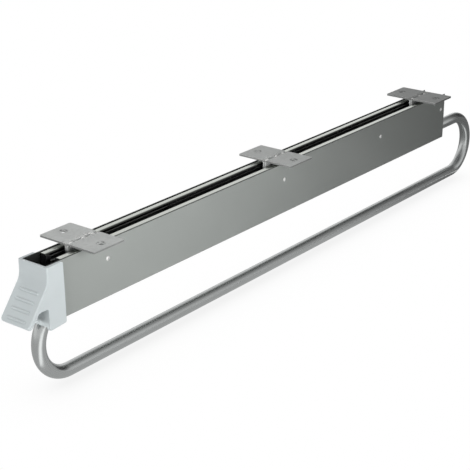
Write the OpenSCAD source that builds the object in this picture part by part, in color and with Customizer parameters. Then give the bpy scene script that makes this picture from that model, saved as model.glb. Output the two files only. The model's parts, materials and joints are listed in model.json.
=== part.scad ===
// Pull-out clothes rail for the ceiling of a deep wardrobe
//
// Three ceiling brackets carry the fixed members of two ball slides that run back to back.
// The sheet-metal cover rides on the outer members of the slides and carries the handle cap
// in front and the bent hanging tube below.
//
// The origin is the centre of the middle bracket on the ceiling plane. +Z is up, +X is to
// the right of someone in front of the rail, and the rail is pulled out along -Y.

/* [Ceiling brackets] */
// Reach of a bracket plate from the seam to its side edge
plate_reach = 48.4; // [42:0.2:70]
// Length of a bracket along the rail
plate_l = 56; // [50:1:80]
// Thickness of the bracket steel
plate_t = 3; // [2:0.25:3.5]
// Inner radius of the bracket's bend
plate_bend_r = 1.5; // [1:0.25:2.5]
// Radius of the plate's outer corners
plate_corner_r = 2; // [1:0.5:6]
// Distance of a screw hole from the seam
screw_hole_x = 33.5; // [31:0.5:36]
// Diameter of a screw hole
screw_hole_d = 6.5; // [4:0.5:8]
// Distance from the middle bracket to the front bracket
front_span = 418; // [300:1:430]
// Distance from the middle bracket to the rear bracket
rear_span = 423; // [300:1:440]
// Distance between the two slide bolts of a bracket
bolt_pitch = 32; // [24:1:36]
// Diameter of a slide bolt
bolt_d = 5; // [4:0.5:6]

/* [Cover channel] */
// Outer width of the cover
cover_w = 41.4; // [41:0.2:60]
// Height of the cover
cover_h = 80; // [78:1:110]
// Length of the cover
cover_l = 980; // [976:1:1100]
// Thickness of the cover's sheet
cover_t = 1.2; // [0.8:0.1:1.5]
// Gap between the ceiling plane and the cover's top edge
cover_drop = 6.5; // [5:0.25:12]
// Distance from the middle bracket to the handle's front face
front_reach = 506; // [496:1:512]

/* [Ball slides] */
// Height of the outer member
slide_h = 46; // [43:0.5:48]
// Depth of a slide, from the cover's wall to the fixed member's web
slide_depth = 13.5; // [13:0.1:14]
// Depth of the slides' centreline below the cover's top edge
slide_sink = 23.5; // [22:0.5:30]
// Length of the outer member
slide_l = 948; // [940:1:952]
// Gap between the cover's front end and the outer member
slide_front_gap = 27; // [25:0.5:29]
// Radius of the outer member's corners, to the middle of its sheet
outer_corner_r = 3; // [1.5:0.1:3.4]
// Thickness of the slide's sheet
sheet_t = 1.2; // [1:0.05:1.3]
// Diameter of a bearing ball
ball_d = 4.2; // [3.8:0.1:4.4]
// Play between a ball and a raceway
ball_play = 0.2; // [0.15:0.05:0.3]
// Full travel of the cover
travel = 900; // [400:10:910]
// Number of balls in one row of a cage
ball_count = 12; // [4:1:16]
// Length that the closing bumper fills in front of the members
bumper_l = 6; // [4:0.5:7]

/* [Rivets] */
// Distance of each rivet from the middle bracket
rivet_y = [-393, -4.5, 267, 467];
// Depth of the rivets below the cover's top edge
rivet_sink = 25.9; // [20:0.1:30]
// Diameter of a rivet's head
rivet_head_d = 6.8; // [6:0.2:9]
// Height of a rivet's head
rivet_head_h = 1.5; // [1:0.1:2]
// Diameter of a rivet's shank
rivet_d = 4; // [3:0.2:5]

/* [Handle cap] */
// Width of the cap
cap_w = 51; // [47:0.2:70]
// Play between the cap and the cover
cap_play = 0.3; // [0.2:0.05:0.6]
// Thickness of the cap's front wall
cap_front_t = 3; // [2:0.25:3.5]
// Depth of the cap's side at the top
cap_depth_top = 27.6; // [20:0.2:28.4]
// Depth of the cap's side at the bottom
cap_depth_bottom = 29.2; // [26:0.2:34]
// Drop of the cap's top edge below the cover's top edge
cap_top_drop = 0.4; // [0:0.1:3]
// Reach of the cap below the cover at the front corner
cap_skirt = 6; // [4.6:0.2:8]
// Reach of the cap below the cover at the rear corner
cap_rear_skirt = 3.6; // [2:0.2:4.4]
// Rounding of the front edges of the cap and its grip
cap_edge_r = 2.2; // [1:0.1:3]
// Depth of the bend, where the grip leaves the front face
grip_bend_z = 23; // [18:0.5:26]
// Radius of that bend, on the face
grip_bend_r = 25; // [10:1:28]
// Slope of the grip from the vertical
grip_slope = 37.5; // [30:0.5:42]
// Length of the grip along its slope
grip_l = 60; // [56:0.5:64]
// Thickness of the grip
grip_t = 6.4; // [5:0.2:8]
// Radius of the grip's lower corners
grip_corner_r = 5; // [3.5:0.5:8]
// Depth of the top of the finger gap below the cover's top edge
finger_top_z = 55; // [51:0.5:58]
// Number of ribs on the grip
rib_count = 4; // [2:1:4]
// Distance between the ribs
rib_pitch = 12.8; // [9:0.1:13]
// Diameter of the round bead that forms a rib
rib_d = 3.8; // [2.4:0.1:5]
// Depth that a bead's axis is sunk below the face
rib_sink = 0.8; // [0:0.1:1]
// Length of a rib
rib_l = 34; // [24:1:42]
// Distance of the lowest rib from the grip's tip
rib_tip_gap = 7.2; // [6:0.2:9]

/* [Hanging tube] */
// Outer diameter of the tube
tube_d = 19; // [16:0.5:20]
// Wall of the tube
tube_wall = 1.5; // [1:0.1:2]
// Radius of the tube's bends, to its centreline
tube_bend_r = 50.65; // [40:0.5:60]
// Clearance between the tube's upper legs and the cover's floor
tube_floor_gap = 3; // [2:0.25:4]
// Distance from the handle's front face to the centre of the front bend
tube_front_y = 53; // [53:0.5:62]
// Distance from the cover's rear end to the centre of the rear bend
tube_rear_y = 74; // [20:1:140]
// Length of the front leg inside the cover
front_leg_l = 120; // [100:5:200]
// Length of the rear leg from its bend into the cover
rear_leg_l = 180; // [170:5:260]

/* [Tube clamps] */
// Length of a clamp along the tube
clamp_l = 40; // [30:1:60]
// Width of a clamp
clamp_w = 36; // [34:0.5:38]
// Material of a clamp above the tube
clamp_top_t = 2.5; // [1.5:0.25:4]
// Diameter of a clamp screw
clamp_screw_d = 4; // [3:0.5:4]
// Distance of a clamp screw from the middle plane
clamp_screw_x = 13.5; // [13:0.25:14]

/* [Hidden] */

$fn = 64;
LEFT = -1;
RIGHT = 1;
// Overshoot of a cutting shape past the face that it opens
over = 1;
// Clearance of a screw or rivet in its hole
hole_play = 0.1;
// Segments of an arc in an outline
arc_n = 7;

// Colours
zinc = [0.66, 0.67, 0.67];
slide_zinc = [0.74, 0.76, 0.73];
cover_grey = [0.60, 0.62, 0.60];
cap_grey = [0.77, 0.81, 0.81];
tube_grey = [0.70, 0.70, 0.70];
black = [0.08, 0.08, 0.09];
steel = [0.55, 0.56, 0.58];

// Places of the cover
cover_top = -cover_drop;
cover_floor = cover_top - cover_h + cover_t;
cap_y = -front_reach;
// Gap between the cap's front wall and the cover's end
cap_front_gap = 1;
cover_y0 = cap_y + cap_front_t + cap_front_gap;
cover_y1 = cover_y0 + cover_l;
half_in = cover_w / 2 - cover_t;
bracket_ys = [-front_span, 0, rear_span];

// Radius of the cover's folds, outside
cover_fold_r = 2;

// Places of the slides, seen from the cover's wall: u runs to the middle, v is the height
slide_z = cover_top - slide_sink;
rivet_z = cover_top - rivet_sink;
race_r = ball_d / 2 + ball_play + sheet_t / 2;
// Angle of the line from an inner ball to the outer ball beside it
race_angle = 63;
// Gap between the webs of the outer and the intermediate member, which the outer cage runs in
web_gap = 1.1;
inner_corner_r = 1.5;
// Angles at which the sheets leave their balls: at the outer lip, the inner member's shoulder and its lip
lip_angle = 35;
shoulder_angle = 310;
inner_lip_angle = 245;
flange_v = slide_h / 2 - sheet_t / 2;
outer_v = flange_v - race_r;
inner_u = sheet_t + web_gap + sheet_t / 2 + race_r;
outer_u = inner_u + 2 * race_r * cos(race_angle);
inner_v = outer_v - 2 * race_r * sin(race_angle);
fixed_web_u = slide_depth - sheet_t / 2;

// Places along the slides
outer_y0 = cover_y0 + slide_front_gap;
outer_y1 = outer_y0 + slide_l;
bumper_inset = 0.6;
bumper_gap = 0.3;
bumper_y0 = outer_y0 + bumper_inset;
bumper_r = 1.2;
// Height of the bumper's upper and lower noses, and the depth that its middle lies back
bumper_nose_h = 6.1;
bumper_back = 2.4;
member_short = 2;
member_y0 = bumper_y0 + bumper_l + bumper_gap;
member_y1 = outer_y1 - member_short;
lug_l = 3;
lug_half = 6;
lug_play = 0.3;
stop_gap = 0.5;
cage_y0 = member_y0 + lug_l + travel / 4 + stop_gap;
outer_cage_y1 = outer_y1 - lug_l - travel / 4 - stop_gap;
inner_cage_y1 = member_y1 - lug_l - travel / 4 - stop_gap;

// Cages
cage_t = 0.4;
cage_flange_t = 0.8;
cage_air = (web_gap - cage_t) / 2;
cage_rim = 0.9;
pocket_play = 0.6;
pocket_d = ball_d + pocket_play;
inner_cage_air = 0.22;
outer_cage_u = sheet_t + cage_air;
inner_cage_u = inner_u - race_r + sheet_t / 2 + inner_cage_air;

// Bracket webs and their bolts
web_gap_x = half_in - slide_depth;
bush_l = web_gap_x - plate_t;
bush_d = 12;
web_below = 12;
web_h = -slide_z + web_below;
web_corner_r = 4;
bend_out_r = plate_bend_r + plate_t;
bolt_hole_d = bolt_d + 2 * hole_play;
head_h = 2.6;
head_d = 1.8 * bolt_d;
nut_h = 0.8 * bolt_d;
nut_flats = 1.6 * bolt_d;
// Amount by which a rivet's shank stays behind the outer member's inner face
rivet_short = 0.1;

// Tube
tube_r = tube_d / 2;
tube_top_z = cover_floor + tube_floor_gap + tube_r;
tube_low_z = tube_top_z - 2 * tube_bend_r;
tube_mid_z = tube_top_z - tube_bend_r;
tube_y0 = cap_y + tube_front_y;
tube_y1 = cover_y1 + tube_rear_y;

// Tube clamps
clamp_gap = 0.1;
clamp_h = tube_floor_gap + tube_d + clamp_top_t;
clamp_inset = 10;
clamp_front_y = tube_y0 + front_leg_l - clamp_l / 2 - clamp_inset;
clamp_rear_y = tube_y1 - rear_leg_l + clamp_l / 2 + clamp_inset;
clamp_ys = [clamp_front_y, clamp_rear_y];
clamp_screw_l = 12;
clamp_head_h = 2.4;
// Radii of a clamp's upper and lower edges
clamp_round_r = 6;
clamp_foot_r = 1;

// Handle cap
snap_inset = 10;
snap_drop = 40;
snap_y = cover_y0 + snap_inset;
snap_z = cover_top - snap_drop;
snap_l = 6;
snap_h = 9;
snap_play = 0.3;
// Depth of a snap's root in the cap's wall, and the distance of its nose from the cover's inner face
snap_root = 0.1;
snap_short = 0.2;
// Reach of the cap's front wall below the cover, between its two sides
wall_skirt = 2;

function arc(c, r, a0, a1, n = arc_n) =
    [for (i = [0 : n]) c + r * [cos(a0 + (a1 - a0) * i / n), sin(a0 + (a1 - a0) * i / n)]];

function flipped(points) = [for (i = [len(points) - 1 : -1 : 0]) points[i]];

function lowered(points) = [for (p = points) [p[0], -p[1]]];

function unit(v) = v / norm(v);

// One corner of an outline, rounded by an arc of radius r that touches both of its edges
function corner(a, p, b, r) =
    let (ua = unit(a - p), ub = unit(b - p), half = acos(ua * ub) / 2,
         c = p + unit(ua + ub) * r / sin(half),
         ta = p + ua * r / tan(half), tb = p + ub * r / tan(half),
         a0 = atan2(ta[1] - c[1], ta[0] - c[0]), a1 = atan2(tb[1] - c[1], tb[0] - c[0]),
         turn = a1 - a0 > 180 ? a1 - a0 - 360 : (a1 - a0 < -180 ? a1 - a0 + 360 : a1 - a0))
    arc(c, r, a0, a0 + turn);

// An outline with the corner at points[i] rounded by radii[i]
function rounded(points, radii) =
    let (n = len(points))
    [for (i = [0 : n - 1])
        each radii[i] == 0 ? [points[i]]
            : corner(points[(i + n - 1) % n], points[i], points[(i + 1) % n], radii[i])];

// The two sides of a folded sheet, mirrored about v = 0, as one closed outline
function folded(inside, outside) =
    concat(flipped(lowered(outside)), outside, flipped(inside), lowered(inside));

// Half of the outer member's sheet, at the distance d outside its centreline
function outer_half(d) =
    concat(arc([sheet_t / 2 + outer_corner_r, flange_v - outer_corner_r], outer_corner_r + d, 180, 90),
           arc([outer_u, outer_v], race_r + d, 90, lip_angle));

// Half of the intermediate member's sheet: a bulge over the inner ball, a trough under the outer
function intermediate_half(d) =
    concat(arc([inner_u, inner_v], race_r + d, 180, race_angle),
           arc([outer_u, outer_v], race_r - d, 180 + race_angle, 360 - lip_angle));

// Half of the inner member's sheet, from its web to the lip beside the inner ball
function inner_half(d) =
    let (shoulder_r = 2,
         shoulder = [inner_u, inner_v] + (race_r + shoulder_r) * [cos(shoulder_angle), sin(shoulder_angle)],
         top = shoulder[1] + shoulder_r)
    concat(arc([fixed_web_u - inner_corner_r, top - inner_corner_r], inner_corner_r + d, 0, 90),
           arc(shoulder, shoulder_r + d, 90, shoulder_angle - 180),
           arc([inner_u, inner_v], race_r - d, shoulder_angle, inner_lip_angle));

// Helpers

// The children as drawn for the right side, or mirrored to the left
module on_side(side) {
    if (side == RIGHT) children();
    else mirror([1, 0, 0]) children();
}

// A section in x and z, run along the rail from y0 to y1
module along(y0, y1) {
    translate([0, y1, 0]) rotate([90, 0, 0]) linear_extrude(y1 - y0) children();
}

// A section in u and v, placed against the right wall of the cover
module slide_section(points) {
    translate([half_in, slide_z]) mirror([1, 0]) polygon(points);
}

// A box in u and v on the right slide, from y0 to y1
module slide_box(u0, u1, half_v, y0, y1) {
    translate([half_in - u1, y0, slide_z - half_v]) cube([u1 - u0, y1 - y0, 2 * half_v]);
}

// A bar along X from x0 to x1
module bar(x0, x1, d, fn = 64) {
    translate([x0, 0, 0]) rotate([0, 90, 0]) cylinder(d = d, h = x1 - x0, $fn = fn);
}

// A domed head of a rivet or bolt, its flat side on z = 0
module dome(d, h) {
    ball_r = (d * d / 4 + h * h) / (2 * h);
    intersection() {
        translate([0, 0, h - ball_r]) sphere(r = ball_r);
        translate([-d, -d, 0]) cube([2 * d, 2 * d, h + over]);
    }
}

// Ceiling brackets

// One L plate of a bracket, drawn for the right side
module bracket_plate(y) {
    profile = concat([[0, -web_h]], arc([bend_out_r, -bend_out_r], bend_out_r, 180, 90),
                     [[plate_reach, 0], [plate_reach, -plate_t]],
                     arc([bend_out_r, -bend_out_r], plate_bend_r, 90, 180), [[plate_t, -web_h]]);
    plan = rounded([[0, -plate_l / 2], [plate_reach, -plate_l / 2],
                    [plate_reach, plate_l / 2], [0, plate_l / 2]],
                   [0, plate_corner_r, plate_corner_r, 0]);
    side_view = rounded([[0, -plate_l / 2], [0, plate_l / 2],
                         [web_h, plate_l / 2], [web_h, -plate_l / 2]],
                        [0, 0, web_corner_r, web_corner_r]);
    color(zinc) translate([0, y, 0]) difference() {
        intersection() {
            along(-plate_l / 2, plate_l / 2) polygon(profile);
            translate([0, 0, -web_h]) linear_extrude(web_h) polygon(plan);
            rotate([0, 90, 0]) linear_extrude(plate_reach) polygon(side_view);
        }
        translate([screw_hole_x, 0, -plate_t - over])
            cylinder(d = screw_hole_d, h = plate_t + 2 * over);
        for (side = [LEFT, RIGHT])
            translate([-over, side * bolt_pitch / 2, slide_z])
                bar(0, plate_t + 2 * over, bolt_hole_d);
    }
}

module bracket_front_left() on_side(LEFT) bracket_plate(-front_span);
module bracket_front_right() on_side(RIGHT) bracket_plate(-front_span);
module bracket_middle_left() on_side(LEFT) bracket_plate(0);
module bracket_middle_right() on_side(RIGHT) bracket_plate(0);
module bracket_rear_left() on_side(LEFT) bracket_plate(rear_span);
module bracket_rear_right() on_side(RIGHT) bracket_plate(rear_span);

// Domed tack welds in the groove between the two bends
module seam_welds() {
    bead_r = 0.75 * bend_out_r;
    bead_top = 0.5;
    bead_depth = 0.6 * bend_out_r;
    gap = 0.05;
    color(steel) for (y = bracket_ys, share = [-0.36, 0.04, 0.34])
        translate([0, y + share * plate_l, 0]) difference() {
            translate([0, 0, -bead_r - bead_top]) sphere(r = bead_r);
            for (side = [LEFT, RIGHT])
                translate([side * bend_out_r, 0, -bend_out_r]) rotate([90, 0, 0])
                    cylinder(r = bend_out_r + gap, h = 4 * bead_r, center = true);
            translate([-bead_r, -bead_r, -3 * bead_r - bead_depth])
                cube([2 * bead_r, 2 * bead_r, 3 * bead_r]);
        }
}

// Bolted joints between the bracket webs and the fixed members

// The children at each slide bolt, with its axis along X
module at_bolts() {
    for (y = bracket_ys, side = [LEFT, RIGHT])
        translate([0, y + side * bolt_pitch / 2, slide_z]) children();
}

module spacer_bushes() color(steel) at_bolts() for (side = [LEFT, RIGHT]) on_side(side)
    difference() {
        bar(plate_t, web_gap_x, bush_d);
        bar(plate_t - over, web_gap_x + over, bolt_hole_d);
    }

module slide_bolts() color(steel) at_bolts() {
    bar(-web_gap_x - sheet_t, web_gap_x + sheet_t + nut_h + over, bolt_d);
    translate([-web_gap_x - sheet_t, 0, 0]) rotate([0, -90, 0]) dome(head_d, head_h);
}

module slide_nuts() color(steel) at_bolts() translate([web_gap_x + sheet_t, 0, 0])
    difference() {
        bar(0, nut_h, nut_flats / cos(30), 6);
        bar(-over, nut_h + over, bolt_d + hole_play);
    }

// Ball slides, drawn for the right side

module inner_member() color(slide_zinc) difference() {
    along(member_y0, member_y1) slide_section(folded(inner_half(-sheet_t / 2), inner_half(sheet_t / 2)));
    at_bolts() bar(web_gap_x - over, web_gap_x + sheet_t + over, bolt_hole_d);
}

// A plastic clip in the fixed member's front end; its nose stops the inner cage
module end_clip() color(black) {
    clip_l = 8;
    nose_u = inner_cage_u + cage_t;
    slide_box(nose_u, slide_depth - sheet_t, 1.5 * lug_half, member_y0, member_y0 + clip_l);
    slide_box(inner_cage_u, nose_u + over, lug_half, member_y0, member_y0 + lug_l);
}

// The intermediate member, with a stop lug at each end for the two cages
module intermediate_member() color(slide_zinc) {
    web_u = inner_u - race_r;
    lug_t = web_gap - lug_play;
    along(member_y0, member_y1)
        slide_section(folded(intermediate_half(-sheet_t / 2), intermediate_half(sheet_t / 2)));
    slide_box(web_u - sheet_t / 2 - lug_t, web_u, lug_half, member_y0, member_y0 + lug_l);
    slide_box(web_u, inner_cage_u + cage_t, lug_half, member_y1 - lug_l, member_y1);
}

// The outer member, with a stop lug for the outer cage at its rear end
module outer_member() color(slide_zinc) difference() {
    union() {
        along(outer_y0, outer_y1)
            slide_section(folded(outer_half(-sheet_t / 2), outer_half(sheet_t / 2)));
        slide_box(sheet_t / 2, sheet_t + web_gap - lug_play, lug_half, outer_y1 - lug_l, outer_y1);
    }
    for (y = rivet_y)
        translate([0, y, rivet_z]) bar(half_in - sheet_t - over, half_in + over, rivet_d + 2 * hole_play);
}

// Place along the rail of ball k in a row between y0 and y1
function ball_y(k, y0, y1) = y0 + (k + 0.5) * (y1 - y0) / ball_count;

// A ball cage: a thin web with a flange in each raceway, pierced for the balls
module cage(web_u, ball_u, ball_v, y0, y1) color(black) {
    rim_u = ball_u + pocket_d / 2 + cage_rim;
    half = ball_v + cage_flange_t / 2;
    inside = ball_v - cage_flange_t / 2;
    difference() {
        along(y0, y1) slide_section([[web_u, -half], [rim_u, -half], [rim_u, -inside],
                                     [web_u + cage_t, -inside], [web_u + cage_t, inside],
                                     [rim_u, inside], [rim_u, half], [web_u, half]]);
        for (k = [0 : ball_count - 1], row = [-1, 1])
            translate([half_in - ball_u, ball_y(k, y0, y1), slide_z + row * ball_v])
                cylinder(d = pocket_d, h = pocket_d, center = true, $fn = 12);
    }
}

module balls(ball_u, ball_v, y0, y1) color(steel)
    for (k = [0 : ball_count - 1], row = [-1, 1])
        translate([half_in - ball_u, ball_y(k, y0, y1), slide_z + row * ball_v]) sphere(d = ball_d);

// The rubber bumper that the members meet when the rail is pushed home
module bumper() color(black) {
    half = slide_h / 2 - 2 * sheet_t;
    inner = slide_depth - sheet_t;
    step = half - bumper_nose_h;
    outer_r = outer_corner_r - sheet_t / 2;
    along(bumper_y0, bumper_y0 + bumper_l)
        slide_section(rounded([[sheet_t, -half], [inner, -half], [inner, -step], [inner - bumper_back, -step],
                               [inner - bumper_back, step], [inner, step], [inner, half], [sheet_t, half]],
                              [outer_r, bumper_r, bumper_r, 0, 0, bumper_r, bumper_r, outer_r]));
}

module inner_member_left() on_side(LEFT) inner_member();
module inner_member_right() on_side(RIGHT) inner_member();
module end_clip_left() on_side(LEFT) end_clip();
module end_clip_right() on_side(RIGHT) end_clip();
module intermediate_left() on_side(LEFT) intermediate_member();
module intermediate_right() on_side(RIGHT) intermediate_member();
module inner_cage_left() on_side(LEFT) cage(inner_cage_u, inner_u, inner_v, cage_y0, inner_cage_y1);
module inner_cage_right() on_side(RIGHT) cage(inner_cage_u, inner_u, inner_v, cage_y0, inner_cage_y1);
module inner_balls_left() on_side(LEFT) balls(inner_u, inner_v, cage_y0, inner_cage_y1);
module inner_balls_right() on_side(RIGHT) balls(inner_u, inner_v, cage_y0, inner_cage_y1);
module outer_cage_left() on_side(LEFT) cage(outer_cage_u, outer_u, outer_v, cage_y0, outer_cage_y1);
module outer_cage_right() on_side(RIGHT) cage(outer_cage_u, outer_u, outer_v, cage_y0, outer_cage_y1);
module outer_balls_left() on_side(LEFT) balls(outer_u, outer_v, cage_y0, outer_cage_y1);
module outer_balls_right() on_side(RIGHT) balls(outer_u, outer_v, cage_y0, outer_cage_y1);
module outer_member_left() on_side(LEFT) outer_member();
module outer_member_right() on_side(RIGHT) outer_member();
module bumper_left() on_side(LEFT) bumper();
module bumper_right() on_side(RIGHT) bumper();

// Cover

// The sheet-metal channel, with a slot for the front bend of the tube
module cover_channel() {
    slot_w = tube_d + 3;
    slot_reach = tube_bend_r - tube_r;
    slot_drop = tube_bend_r - tube_r - tube_floor_gap - cover_t;
    slot_play = 4;
    slot_y1 = tube_y0 - sqrt(pow(slot_reach, 2) - pow(slot_drop, 2)) + slot_play;
    bottom = cover_floor - cover_t;
    bend = cover_fold_r;
    section = concat(
        arc([-cover_w / 2 + bend, bottom + bend], bend, 180, 270),
        arc([cover_w / 2 - bend, bottom + bend], bend, 270, 360),
        [[cover_w / 2, cover_top], [half_in, cover_top]],
        arc([cover_w / 2 - bend, bottom + bend], bend - cover_t, 360, 270),
        arc([-cover_w / 2 + bend, bottom + bend], bend - cover_t, 270, 180),
        [[-half_in, cover_top], [-cover_w / 2, cover_top]]);
    color(cover_grey) difference() {
        along(cover_y0, cover_y1) polygon(section);
        translate([-slot_w / 2, cover_y0 - over, bottom - over])
            cube([slot_w, slot_y1 - cover_y0 + over, cover_t + 2 * over]);
        for (side = [LEFT, RIGHT]) on_side(side) {
            for (y = rivet_y)
                translate([0, y, rivet_z]) bar(half_in - over, cover_w / 2 + over, rivet_d + 2 * hole_play);
            translate([half_in - over, snap_y, snap_z])
                cube([cover_t + 2 * over, snap_l, snap_h]);
            for (y = clamp_ys)
                translate([clamp_screw_x, y, bottom - over])
                    cylinder(d = clamp_screw_d + 2 * hole_play, h = cover_t + 2 * over);
        }
    }
}

// Rivets of one side: a domed head outside and a shank set flush in the outer member
module cover_rivets() color(steel) for (y = rivet_y) translate([0, y, rivet_z]) {
    bar(half_in - sheet_t + rivet_short, cover_w / 2, rivet_d);
    translate([cover_w / 2, 0, 0]) rotate([0, 90, 0]) dome(rivet_head_d, rivet_head_h);
}

module cover_rivets_left() on_side(LEFT) cover_rivets();
module cover_rivets_right() on_side(RIGHT) cover_rivets();

// Handle cap

// The grip in the cap's side view: y from its front face, z from the cover's top edge
grip_dir = [-sin(grip_slope), -cos(grip_slope)];
grip_normal = [cos(grip_slope), -sin(grip_slope)];
grip_root = [0, -grip_bend_z];
// Length of the tangents of the grip's bend
bend_reach = grip_bend_r * tan(grip_slope / 2);
finger_r = 8;
// Radii of the finger gap's rear top corner and of the cap's rear corners
gap_corner_r = 3.5;
side_corner_r = 2.5;
// Distance along the grip at which its back reaches the top of the finger gap
finger_s = (finger_top_z - grip_bend_z - grip_t * sin(grip_slope)) / cos(grip_slope);

// A point of the grip at the distance s from its root and the depth n below its face
function grip_point(s, n) = grip_root + s * grip_dir + n * grip_normal;

// Side view of the cap behind its rounded face, without the free end of the grip
cap_side_view = rounded(
    [[cap_edge_r, -cap_top_drop], [cap_edge_r, -grip_bend_z - cap_edge_r * tan(grip_slope / 2)],
     grip_point(finger_s + finger_r, cap_edge_r), grip_point(finger_s + finger_r, grip_t),
     grip_point(finger_s, grip_t), [0, -finger_top_z],
     [0, -cover_h - cap_skirt], [cap_depth_bottom, -cover_h - cap_rear_skirt],
     [cap_depth_top, -cap_top_drop]],
    [0, 0, 0, 0, finger_r, gap_corner_r, cap_edge_r, side_corner_r, side_corner_r]);

// A shape in the cap's side view, drawn across X from x0 to x1
module across(x0, x1) {
    translate([x0, cap_y, cover_top]) rotate([90, 0, 90]) linear_extrude(x1 - x0) children();
}

// Section of the grip from its middle to its side edge at x = w, with y into it and the front edge rounded
module edge_profile(w)
    polygon(rounded([[0, 0], [w, 0], [w, grip_t], [0, grip_t]], [0, cap_edge_r, 0, 0]));

// The children in the plane of the grip: X across, Y into the grip, Z up its slope
module on_grip() {
    translate([0, cap_y + grip_root[0], cover_top + grip_root[1]]) rotate([-grip_slope, 0, 0]) children();
}

// Right half of the cap's face with its rounded edge: down the front, round the bend and along the grip
module cap_face() {
    r = grip_corner_r;
    half = cap_w / 2;
    bend_top = cover_top - grip_bend_z + bend_reach;
    translate([0, cap_y, bend_top]) linear_extrude(cover_top - cap_top_drop - bend_top) edge_profile(half);
    translate([0, cap_y - grip_bend_r, bend_top]) rotate([0, 90, 0]) rotate([0, 0, 90 - grip_slope])
        rotate_extrude(angle = grip_slope) translate([grip_bend_r, 0]) mirror([1, -1]) edge_profile(half);
    on_grip() translate([0, 0, r - grip_l]) {
        linear_extrude(grip_l - r - bend_reach) edge_profile(half);
        rotate([0, 90, 0]) linear_extrude(half - r) edge_profile(r);
        translate([half - r, 0, 0]) rotate([-90, 0, 0]) rotate_extrude(angle = 90) edge_profile(r);
    }
}

// A rib of the grip: a round bead with round ends, sunk in the grip's face
module grip_rib(k) {
    place = grip_point(grip_l - rib_tip_gap - k * rib_pitch, rib_sink);
    half = (rib_l - rib_d) / 2;
    translate([0, cap_y + place[0], cover_top + place[1]]) {
        bar(-half, half, rib_d);
        for (x = [-half, half]) translate([x, 0, 0]) sphere(d = rib_d);
    }
}

module handle_cap() color(cap_grey) {
    inside = cover_w / 2 + cap_play;
    depth = cap_depth_bottom + over - cap_front_t;
    difference() {
        union() {
            across(-cap_w / 2, cap_w / 2) polygon(cap_side_view);
            for (side = [LEFT, RIGHT]) on_side(side) cap_face();
            for (k = [0 : rib_count - 1]) grip_rib(k);
        }
        translate([-inside, cap_y + cap_front_t, cover_top - 1.5 * cover_h])
            cube([2 * inside, depth, 2 * cover_h]);
        translate([-inside, cap_y - over, cover_top - cover_h - cap_skirt - over])
            cube([2 * inside, cap_front_t + 2 * over, cap_skirt + over - wall_skirt]);
    }
    for (side = [LEFT, RIGHT]) on_side(side)
        translate([0, snap_y + snap_play, snap_z + snap_play])
            linear_extrude(snap_h - 2 * snap_play)
                polygon([[inside + snap_root, 0], [half_in + snap_short, snap_l - 2 * snap_play],
                         [inside + snap_root, snap_l - 2 * snap_play]]);
}

// Hanging tube

// The tube's course as a solid bar of radius r, with its legs drawn out by extra at their ends
module tube_course(r, extra = 0) {
    along(tube_y0, tube_y1) translate([0, tube_low_z]) circle(r = r);
    along(tube_y0, tube_y0 + front_leg_l + extra) translate([0, tube_top_z]) circle(r = r);
    along(tube_y1 - rear_leg_l - extra, tube_y1) translate([0, tube_top_z]) circle(r = r);
    for (end = [[tube_y0, 90], [tube_y1, -90]])
        translate([0, end[0], tube_mid_z]) rotate([0, 90, 0]) rotate([0, 0, end[1] + 90])
            rotate_extrude(angle = 180) translate([tube_bend_r, 0]) circle(r = r);
}

module hanging_tube() color(tube_grey) difference() {
    tube_course(tube_r);
    tube_course(tube_r - tube_wall, over);
}

// A moulded block on the cover's floor that holds a leg of the tube
module tube_clamp(y) {
    color(black) difference() {
        along(y - clamp_l / 2, y + clamp_l / 2)
            translate([-clamp_w / 2, cover_floor])
                polygon(rounded([[0, 0], [clamp_w, 0], [clamp_w, clamp_h], [0, clamp_h]],
                                [clamp_foot_r, clamp_foot_r, clamp_round_r, clamp_round_r]));
        along(y - clamp_l / 2 - over, y + clamp_l / 2 + over)
            translate([0, tube_top_z]) circle(r = tube_r + clamp_gap);
        for (side = [LEFT, RIGHT])
            translate([side * clamp_screw_x, y, cover_floor - over])
                cylinder(d = clamp_screw_d + hole_play, h = clamp_screw_l + 2 * over);
    }
}

module tube_clamp_front() tube_clamp(clamp_front_y);
module tube_clamp_rear() tube_clamp(clamp_rear_y);

module clamp_screws() color(steel) for (y = clamp_ys, side = [LEFT, RIGHT])
    translate([side * clamp_screw_x, y, cover_floor - cover_t]) {
        cylinder(d = clamp_screw_d, h = clamp_screw_l);
        mirror([0, 0, 1]) dome(2 * clamp_screw_d, clamp_head_h);
    }

bracket_front_left();
bracket_front_right();
bracket_middle_left();
bracket_middle_right();
bracket_rear_left();
bracket_rear_right();
seam_welds();
spacer_bushes();
slide_bolts();
slide_nuts();
inner_member_left();
inner_member_right();
end_clip_left();
end_clip_right();
intermediate_left();
intermediate_right();
inner_cage_left();
inner_cage_right();
inner_balls_left();
inner_balls_right();
outer_cage_left();
outer_cage_right();
outer_balls_left();
outer_balls_right();
outer_member_left();
outer_member_right();
bumper_left();
bumper_right();
cover_channel();
cover_rivets_left();
cover_rivets_right();
handle_cap();
hanging_tube();
tube_clamp_front();
tube_clamp_rear();
clamp_screws();
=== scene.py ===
"""Looks of a pull-out clothes rail that hangs from the ceiling of a wardrobe.

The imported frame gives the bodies, the joints and the plain solids. Each sub-assembly here is a class that
holds its sizes, builds its pieces and dresses them. Lengths are in metres unless a name says otherwise.
"""

import json
import logging
import math
from dataclasses import dataclass
from enum import Enum
from typing import Any, Dict, List, Optional, Sequence, Tuple

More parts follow.
